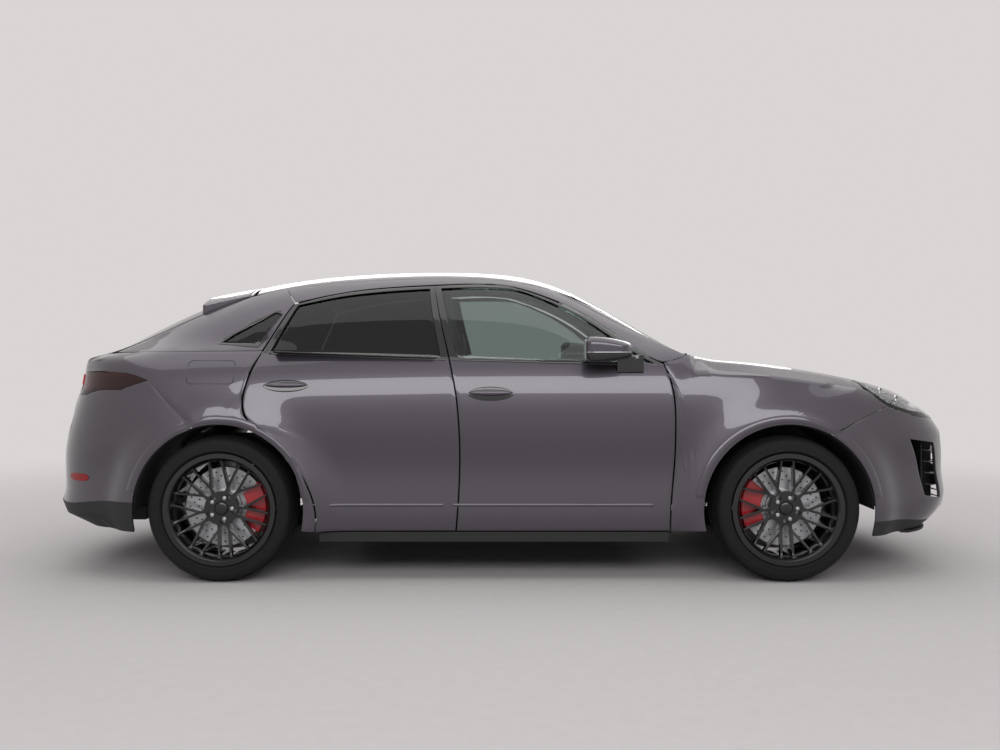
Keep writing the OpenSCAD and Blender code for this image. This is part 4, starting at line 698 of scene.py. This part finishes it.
def handle(name, x0, x1, z, half, body, flip):
    """A black cup of painted shade for the recess, and a pull bar standing out over it a little above its
    middle.
    """
    def painted_shade_cup(u, v):
        x = x0 + (x1 - x0) * u
        return on_side(x, z + (2 * v - 1) * half * lens_height(u), 0.0008)

    def bar(u, v):
        x = x0 + 0.008 + (x1 - x0 - 0.016) * u
        swell = crown(v) ** 0.5 * math.sin(math.pi * min(1, max(0, u))) ** 0.35
        return on_side(x, z + 0.006 + (2 * v - 1) * half * 0.42 * lens_height(u), 0.002 + 0.017 * swell)

    # The cup is not pressed into the door: its black stands for the shade in the handle's recess.
    patch(name + "_cup", painted_shade_cup, 28, 8, gloss_black, body, depth=0.002, flip=flip)
    smoothed(patch(name + "_bar", bar, 28, 8, paint, body, flip=flip), 1)


for end, side in ends.items():
    handle("handle_front_" + end, -0.189, 0.049, 0.960, 0.036, "door_front_" + end, side > 0)
    handle("handle_rear_" + end, -1.235, -1.002, 1.000, 0.031, "door_rear_" + end, side > 0)
print("handles: 4")

# %% Belt strips
strip_height = 0.014


def strip(x0, x1):
    """A place function for a crowned strip just below the belt line."""
    def place(u, v):
        x = x0 + (x1 - x0) * u
        return on_side(x, belt_z(x) - strip_height + strip_height * v, 0.001 + 0.002 * crown(v))
    return place


for end, side in ends.items():
    for where, x0, x1 in (("front_", -0.270, 0.690), ("rear_", -1.225, -0.305)):
        patch("belt_" + where + end, strip(x0, x1), 40, 3, gloss_black, "door_" + where + end, flip=side > 0)
print("belt strips: 4")

# %% Arch bands and lips, door creases and quarter-window frames
def round_wheel(x, radius, angle):
    """The x and z of a place round the middle of a wheel."""
    return x + radius * math.cos(angle), axle_height + radius * math.sin(angle)


def arch_edge(x, angle):
    """Radius where the body's skin starts beside a wheel, in one direction from its middle."""
    for step in range(60):
        radius = 0.39 + 0.003 * step
        edge_x, edge_z = round_wheel(x, radius, angle)
        spot = landing(side_trees, (edge_x, -2, edge_z), (0, 1, 0))
        if spot and spot.y < -0.70:
            return radius
    return 0.46


def arch_band(x, first, last):
    """A place function for a flat band round a wheel arch, a little proud of the skin."""
    edges = {}

    def place(u, v):
        angle = math.radians(first + (last - first) * u)
        if u not in edges:
            edges[u] = arch_edge(x, angle)
        width = 0.040 if 65 < math.degrees(angle) or x > 0 else 0.024
        band_x, band_z = round_wheel(x, edges[u] + 0.004 + width * v, angle)
        return on_side(band_x, band_z, 0.003 * (1 - (2 * v - 1) ** 4))
    return place


def arch_lip(x, first, last):
    """A place function for the folded lip that joins an arch's edge to the wheel housing behind it."""
    def place(u, v):
        angle = math.radians(first + (last - first) * u)
        lip_x, lip_z = round_wheel(x, arch_edge(x, angle) + 0.007, angle)
        return on_side(lip_x, lip_z) + Vector((0, 0.012 + 0.070 * v, 0))
    return place


def crease(x0, x1):
    """A place function for the raised line low on the doors."""
    return lambda u, v: on_side(x0 + (x1 - x0) * u, 0.384 + 0.016 * v, 0.0035 * crown(v))


for end, side in ends.items():
    left = side > 0
    patch("front_arch_band_" + end, arch_band(front_axle, 8, 172), 72, 4, paint, "body", depth=0.002,
          flip=left)
    patch("rear_arch_band_" + end, arch_band(rear_axle, 6, 168), 72, 4, paint, "body", depth=0.002,
          flip=left)
    patch("front_arch_lip_" + end, arch_lip(front_axle, 12, 172), 60, 2, black_plastic, "body", flip=left)
    patch("rear_arch_lip_" + end, arch_lip(rear_axle, -8, 172), 60, 2, black_plastic, "body", flip=left)
    patch("front_door_crease_" + end, crease(-0.262, 0.762), 40, 4, paint, "door_front_" + end, depth=0.002,
          flip=left)
    patch("rear_door_crease_" + end, crease(-0.890, -0.312), 40, 4, paint, "door_rear_" + end, depth=0.002,
          flip=left)

bm = welded_copy("quarter_windows")
spare = [face for face in bm.faces if face.calc_center_median().y > 0 or face.normal.y > -0.3]
bmesh.ops.delete(bm, geom=spare, context="FACES")
rim = [vert.co.copy() for vert in bm.verts if vert.is_boundary]
bm.free()
middle = sum(rim, Vector()) / len(rim)
rim.sort(key=lambda spot: math.atan2(spot.z - middle.z, spot.x - middle.x))


def window_frame(u, v):
    """Round the quarter window: from the glass edge outwards."""
    at = u * len(rim)
    here = rim[int(at) % len(rim)]
    after = rim[(int(at) + 1) % len(rim)]
    spot = here.lerp(after, at - int(at))
    away = Vector((spot.x - middle.x, 0, spot.z - middle.z)).normalized()
    width = 0.006 if away.x > 0.75 else 0.020
    return on_side(spot.x + away.x * width * v, spot.z + away.z * width * v, 0.0012)


for end, side in ends.items():
    patch("quarter_window_frame_" + end, window_frame, 96, 3, gloss_black, "body", depth=0.002, flip=side > 0)
print("side: arch bands and lips, door creases and quarter-window frames")

# %% Fuel flap line of painted shade
def rounded_loop(low, high, radius, per_corner=6):
    """Points round a rectangle with rounded corners, as (x, z) pairs."""
    near_x, far_x = low[0] + radius, high[0] - radius
    near_z, far_z = low[1] + radius, high[1] - radius
    spots = []
    for x, z, start in ((far_x, far_z, 0), (near_x, far_z, 90), (near_x, near_z, 180), (far_x, near_z, 270)):
        for step in range(per_corner + 1):
            angle = math.radians(start + 90 * step / per_corner)
            spots.append((x + radius * math.cos(angle), z + radius * math.sin(angle)))
    return spots


# The flap's shut gap is not cut: its shade is painted as a thin black line on the skin.
flap = [on_side(x, z, 0.0002) for x, z in rounded_loop((-1.633, 1.010), (-1.388, 1.129), 0.022)]
bead("fuel_flap_painted_shade_line", flap, 0.0016, black_plastic, "body", closed=True)
print("fuel flap: outline on the right quarter")

# %% [markdown]
# ## Mirrors
# A door mirror is a painted cap over a black lower shell, with a thin bright line where they meet, on a black
# foot. The CAD head is a rounded block, so a copy is cut at the line's height, narrowed towards its tip, and
# finished in two parts.

# %% Mirrors
mirror_line = 1.172
foot_top = 1.115
for corner, end in (("fr", "right"), ("fl", "left")):
    node = "mirror_" + corner
    body = "door_front_" + end
    side = ends[end]
    bm = welded_copy(node)
    bmesh.ops.bisect_plane(bm, geom=bm.verts[:] + bm.edges[:] + bm.faces[:], plane_co=(0, 0, mirror_line),
                           plane_no=(0, 0, 1))
    long_edges = [edge for edge in bm.edges if edge.calc_length() > 0.03]
    bmesh.ops.subdivide_edges(bm, edges=long_edges, cuts=3, use_grid_fill=True)
    for vert in bm.verts:
        if vert.co.z > foot_top:
            front = max(0, (vert.co.x - 0.43) / 0.225)
            tip = max(0, (abs(vert.co.y) - 0.93) / 0.153)
            vert.co.z = mirror_line + (vert.co.z - mirror_line) * (1 - 0.42 * front ** 2 - 0.12 * tip ** 2)
            vert.co.x -= 0.045 * tip ** 2 * front
    for face in bm.faces:
        face.material_index = 0 if face.calc_center_median().z > mirror_line else 1
    head = piece(node + "_head", bm, [paint, gloss_black], body)
    rounded(head, 0.002)
    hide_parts(node)

    head_trees = search_trees(node + "_head")
    ring = []
    for step in range(40):
        angle = math.tau * step / 40
        away = Vector((math.cos(angle), math.sin(angle), 0))
        spot = landing(head_trees, Vector((0.53, side, mirror_line)) + 0.5 * away, -away)
        if spot:
            ring.append(spot)
    bead("mirror_line_" + end, ring, 0.0022, chrome, body, closed=True)

    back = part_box(node)[0][0]

    def pane(u, v):
        """The flat glass on the back of the right mirror."""
        return Vector((back - 0.0012, -(0.945 + 0.115 * u), 1.135 + 0.100 * v))

    patch("mirror_glass_" + end, pane, 8, 8, chrome, body, depth=0.002, flip=side > 0,
          radius=0.0005)
print("mirrors: 2 heads, lines and glasses")

# %% [markdown]
# ## Front and rear openings
# Air openings are closed by thin blades that follow the bumper's bow. The blades are laid by rays on the
# solid band of the bumper between its openings, a few centimetres back. The front lip and the rear fins are
# plain black mouldings.

# %% Front blades, ducts and lip
nose_trees = search_trees("front_bumper_skin")
band_z = 0.510
corner_low = 0.390
corner_high = 0.770
duct_y = -0.606
duct_x = 2.225
lip_half = 0.78


def nose_x(y, z):
    """How far forward the bumper reaches at a place, from the front."""
    spot = landing(nose_trees, (4, y, z), (-1, 0, 0))
    return spot.x if spot else 2.30


def blade(z):
    """A place function for a thin blade across the nose that follows the bow of the solid band."""
    def place(u, v):
        y = 0.555 * (2 * u - 1)
        return Vector((nose_x(y, band_z) - 0.022 - 0.035 * v, y, z + 0.008 * v))
    return place


def louvre(z):
    """A place function for a short blade in the right corner intake."""
    def place(u, v):
        y = -(0.640 + 0.100 * u)
        low = nose_x(y, corner_low)
        high = nose_x(y, corner_high)
        front = low + (high - low) * (z - corner_low) / (corner_high - corner_low)
        return Vector((front - 0.010 - 0.040 * v, y, z + 0.006 * v))
    return place


def duct_wall(u, v):
    """The inner side wall of the right corner intake."""
    z = 0.330 + 0.420 * v
    return Vector((duct_x + (nose_x(duct_y, z) - 0.014 - duct_x) * u, duct_y, z))


def duct_back(u, v):
    """The back wall of the right corner intake."""
    return Vector((duct_x - 0.02 * u, duct_y - 0.150 * u, 0.330 + 0.420 * v))


def lip(u, v):
    """The flat lip under the bumper."""
    y = lip_half * (2 * u - 1)
    return Vector((nose_x(y, 0.245) + 0.012 - 0.05 * v, y, 0.228 + 0.002 * v))


for level, heights in (("upper", (0.575, 0.615, 0.655, 0.695)), ("lower", (0.385, 0.418, 0.450))):
    for index, z in enumerate(heights):
        patch(f"{level}_blade_{index}", blade(z), 48, 2, gloss_black, "body", depth=0.006,
              radius=0.002)
for end, side in ends.items():
    for index, z in enumerate((0.47, 0.53, 0.59, 0.65, 0.70)):
        patch(f"corner_louvre_{end}_{index}", louvre(z), 10, 2, gloss_black, "body", depth=0.005,
              flip=side > 0, radius=0.0015)
    patch("duct_wall_" + end, duct_wall, 4, 8, black_plastic, "body", depth=0.004, flip=side > 0)
    patch("duct_back_" + end, duct_back, 4, 8, black_plastic, "body", depth=0.004, flip=side > 0)
patch("front_lip", lip, 56, 3, black_plastic, "body", depth=0.012, radius=0.004)
print("front: 17 blades, 4 duct walls and a lip")

# %% Rear fins and reflectors
def fin(y):
    """A place function for an upright fin under the rear bumper."""
    return lambda u, v: Vector((-2.335 + 0.17 * u, y, 0.235 + 0.10 * v * (1 - 0.35 * u)))


def reflector(u, v):
    """A long reflector with rounded tips on the side of the rear bumper."""
    return on_side(-2.318 + 0.142 * u, 0.515 + (2 * v - 1) * 0.019 * (1 - abs(2 * u - 1) ** 6), 0.001)


for index, y in enumerate((-0.33, -0.11, 0.11, 0.33)):
    patch(f"diffuser_fin_{index}", fin(y), 6, 4, black_plastic, "body", depth=0.008,
          radius=0.002)
for end, side in ends.items():
    patch("reflector_" + end, reflector, 24, 4, red_reflector, "body", flip=side > 0)
print("rear: 4 fins and 2 reflectors")

# %% Closing strips beside the tailgate and the windscreen
# A folded channel under the tailgate's edge carries rain away and closes the view into the load bay.
# The corner between the windscreen and the roof side is closed by a black moulding in the same way.
def side_gap(trees, x, start):
    """The two edges of an open strip on the right side, or None. It looks from above and goes outwards."""
    inner, open_here = None, False
    for step in range(220):
        spot = landing(trees, (x, start - 0.002 * step, 3), (0, 0, -1))
        if inner and (spot is None or spot.z < inner.z - 0.06):
            open_here = True
        elif spot and open_here:
            return inner, spot
        elif spot:
            inner = spot
    return None


def closing_strip(name, trees, x0, x1, start, sag, material):
    """A strip on each side that closes an open seam a little below its edges."""
    edges = [side_gap(trees, x0 + (x1 - x0) * step / 36, start) for step in range(37)]
    edges = [pair for pair in edges if pair]

    def place(u, v):
        inner, outer = edges[int(u * (len(edges) - 1) + 0.5)]
        return inner.lerp(outer, v * 1.04 - 0.02) - Vector((0, 0, 0.008 + sag * math.sin(math.pi * v)))

    for end, side in ends.items():
        patch(name + "_" + end, place, len(edges) - 1, 6, material, "body", depth=0.002, flip=side > 0)
    print(name, "laid at", len(edges), "places")


tail_trees = search_trees("tailgate_skin", "rear_pillars_skin", "quarter_panels_skin")
corner_trees = search_trees("windscreen_pane", "roof_rails_skin", "fenders_skin", "bonnet_skin")
closing_strip("rain_channel", tail_trees, -1.62, -2.06, -0.48, 0.012, gloss_black)
closing_strip("screen_corner", corner_trees, 0.50, 1.14, -0.40, 0.0, black_plastic)

# %% Wipers
screen_trees = search_trees("windscreen_pane")
wiper_ends = (((1.030, 0.60), (1.050, 0.02)), ((1.035, -0.08), (1.015, -0.62)))


def on_screen(x, y, up):
    """A place on the windscreen from above, raised, or None beside the glass."""
    spot = landing(screen_trees, (x, y, 3), (0, 0, -1))
    return spot + Vector((0.3, 0, 1)).normalized() * up if spot else None


for index, ((x0, y0), (x1, y1)) in enumerate(wiper_ends):
    edge = [on_screen(x0 + (x1 - x0) * step / 10, y0 + (y1 - y0) * step / 10, 0.008) for step in range(11)]
    edge = [spot for spot in edge if spot]
    arm = [spot + Vector((0.012, 0, 0.010)) for spot in edge[len(edge) // 2::-1]]
    bead(f"wiper_blade_{index}", edge, 0.006, rubber, "body")
    bead(f"wiper_arm_{index}", arm, 0.005, black_plastic, "body")
print("wipers: 2")

# %% [markdown]
# ## Cabin
# Seats are foam under sewn leather. Each cushion starts as a box of fine faces: its top is crowned, its sides
# are drawn in between the corners, and seams are pressed along the border and across the middle panel.

# %% Seats
border_seam = 0.80
seam_width = 0.035


def seam_press(distance):
    """How deep a seam pulls the leather in at a distance from it, from 0 to 1."""
    return math.exp(-(distance / seam_width) ** 2)


def cushion(name, low, high, up, pull, seams, lean=0.0):
    """A padded block.

    up is the axis that bulges, pull the draw of the sides, and seams the channels' places from -1 to 1.
    """
    low, high = Vector(low), Vector(high)
    half, middle = (high - low) / 2, (high + low) / 2
    long, wide = [axis for axis in range(3) if axis != up]
    bm = bmesh.new()
    bmesh.ops.create_cube(bm, size=2)
    bmesh.ops.subdivide_edges(bm, edges=bm.edges[:], cuts=31, use_grid_fill=True)
    for vert in bm.verts:
        a, b, c = vert.co[long], vert.co[wide], vert.co[up]
        border = max(abs(a), abs(b))
        swell = 0.80 + 0.20 * (1 - a * a) * (1 - b * b) - 0.35 * border ** 10
        press = 0.10 * seam_press(border - border_seam)
        if border < border_seam:
            press += sum(0.12 * seam_press(a - seam) for seam in seams)
        spot = [0, 0, 0]
        spot[long] = a * (1 - pull * (1 - b * b))
        spot[wide] = b * (1 - pull * (1 - a * a))
        spot[up] = c * (swell - press)
        vert.co = [middle[k] + half[k] * spot[k] for k in range(3)]
        vert.co.x -= lean * (vert.co.z - low.z)
    obj = piece(name, bm, [leather], "body")
    return obj


for end, side in ends.items():
    near, far = sorted((side * 0.140, side * 0.610))
    first = cushion("seat_cushion_" + end, (-0.215, near, 0.400), (0.271, far, 0.580), 2, 0.04,
                    (-0.45, -0.1, 0.25))
    cushion("seat_back_" + end, (-0.330, near, 0.560), (-0.190, far, 1.110), 0, 0.05, (), lean=0.06)
    near, far = sorted((side * 0.286, side * 0.463))
    cushion("head_rest_" + end, (-0.345, near, 1.130), (-0.245, far, 1.300), 0, 0.06, ())
    if side < 0:
        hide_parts("front_seats")
for index, (near, far) in enumerate(((-0.650, -0.220), (-0.215, 0.215), (0.220, 0.650))):
    first = cushion(f"bench_cushion_{index}", (-0.887, near, 0.400), (-0.419, far, 0.564), 2, 0.04,
                    (-0.3, 0.1))
    cushion(f"bench_back_{index}", (-1.005, near, 0.560), (-0.875, far, 1.085), 0, 0.05, (), lean=0.04)
    if index == 0:
        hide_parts("rear_seat")
print("seats: 12 cushions")

# %% Dashboard
dash_outline = [(0.845, 1.000), (0.720, 1.026), (0.640, 1.020), (0.598, 0.990), (0.583, 0.940),
                (0.592, 0.880), (0.640, 0.840), (0.650, 0.760), (0.700, 0.692), (0.845, 0.692)]
dash_half = 0.725
bm = bmesh.new()
end_face = bm.faces.new([bm.verts.new((x, -dash_half, z)) for x, z in dash_outline])
grown = bmesh.ops.extrude_face_region(bm, geom=[end_face])["geom"]
far_end = [part for part in grown if isinstance(part, bmesh.types.BMVert)]
bmesh.ops.translate(bm, verts=far_end, vec=(0, 2 * dash_half, 0))
bmesh.ops.recalc_face_normals(bm, faces=bm.faces)
dash = piece("dashboard_pad", bm, [leather], "body")
rounded(dash, 0.02, segments=4, angle=20)
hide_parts("dashboard")


def screen_place(u, v):
    """A flat screen in the middle of the dashboard."""
    return Vector((0.578 + 0.006 * v, -0.16 + 0.32 * u, 0.905 + 0.085 * v))


patch("blank_screen", screen_place, 4, 4, gloss_black, "body", depth=0.006, radius=0.002)
print("dashboard: pad and blank screen")

# %% [markdown]
# ## Finishes on the CAD nodes that stay
# A CAD node whose shape is right keeps it. It gets its finish here, and a weld and a small bevel soften its
# edges.

# %% Finishes for the CAD nodes
def dress(node, material, width=0.002):
    """A finish and softened edges on a CAD node that stays."""
    obj = nodes[node]
    for material_slot in obj.material_slots:
        material_slot.link = "OBJECT"
        material_slot.material = material
    weld = obj.modifiers.new("weld", "WELD")
    weld.merge_threshold = 0.00002
    rounded(obj, width)


for node in ("floor_pan", "front_subframe", "rear_axle", "engine", "knuckle_fr", "knuckle_fl"):
    dress(node, chassis_coat, 0.004)
for node in ("sills", "grille", "diffuser", "cowl", "arch_liners", "b_pillars", "roof_header"):
    dress(node, black_plastic, 0.004)
dress("steering_wheel", leather, 0.003)
for corner in wheels:
    dress("rim_" + corner, wheel_black, 0.0015)
    dress("disc_" + corner, steel)
for node in ("caliper_fr", "caliper_fl", "rear_calipers"):
    dress(node, brake_red, 0.006)
dress("exhaust_tips", chrome)
dress("lamp_bar", red_reflector)
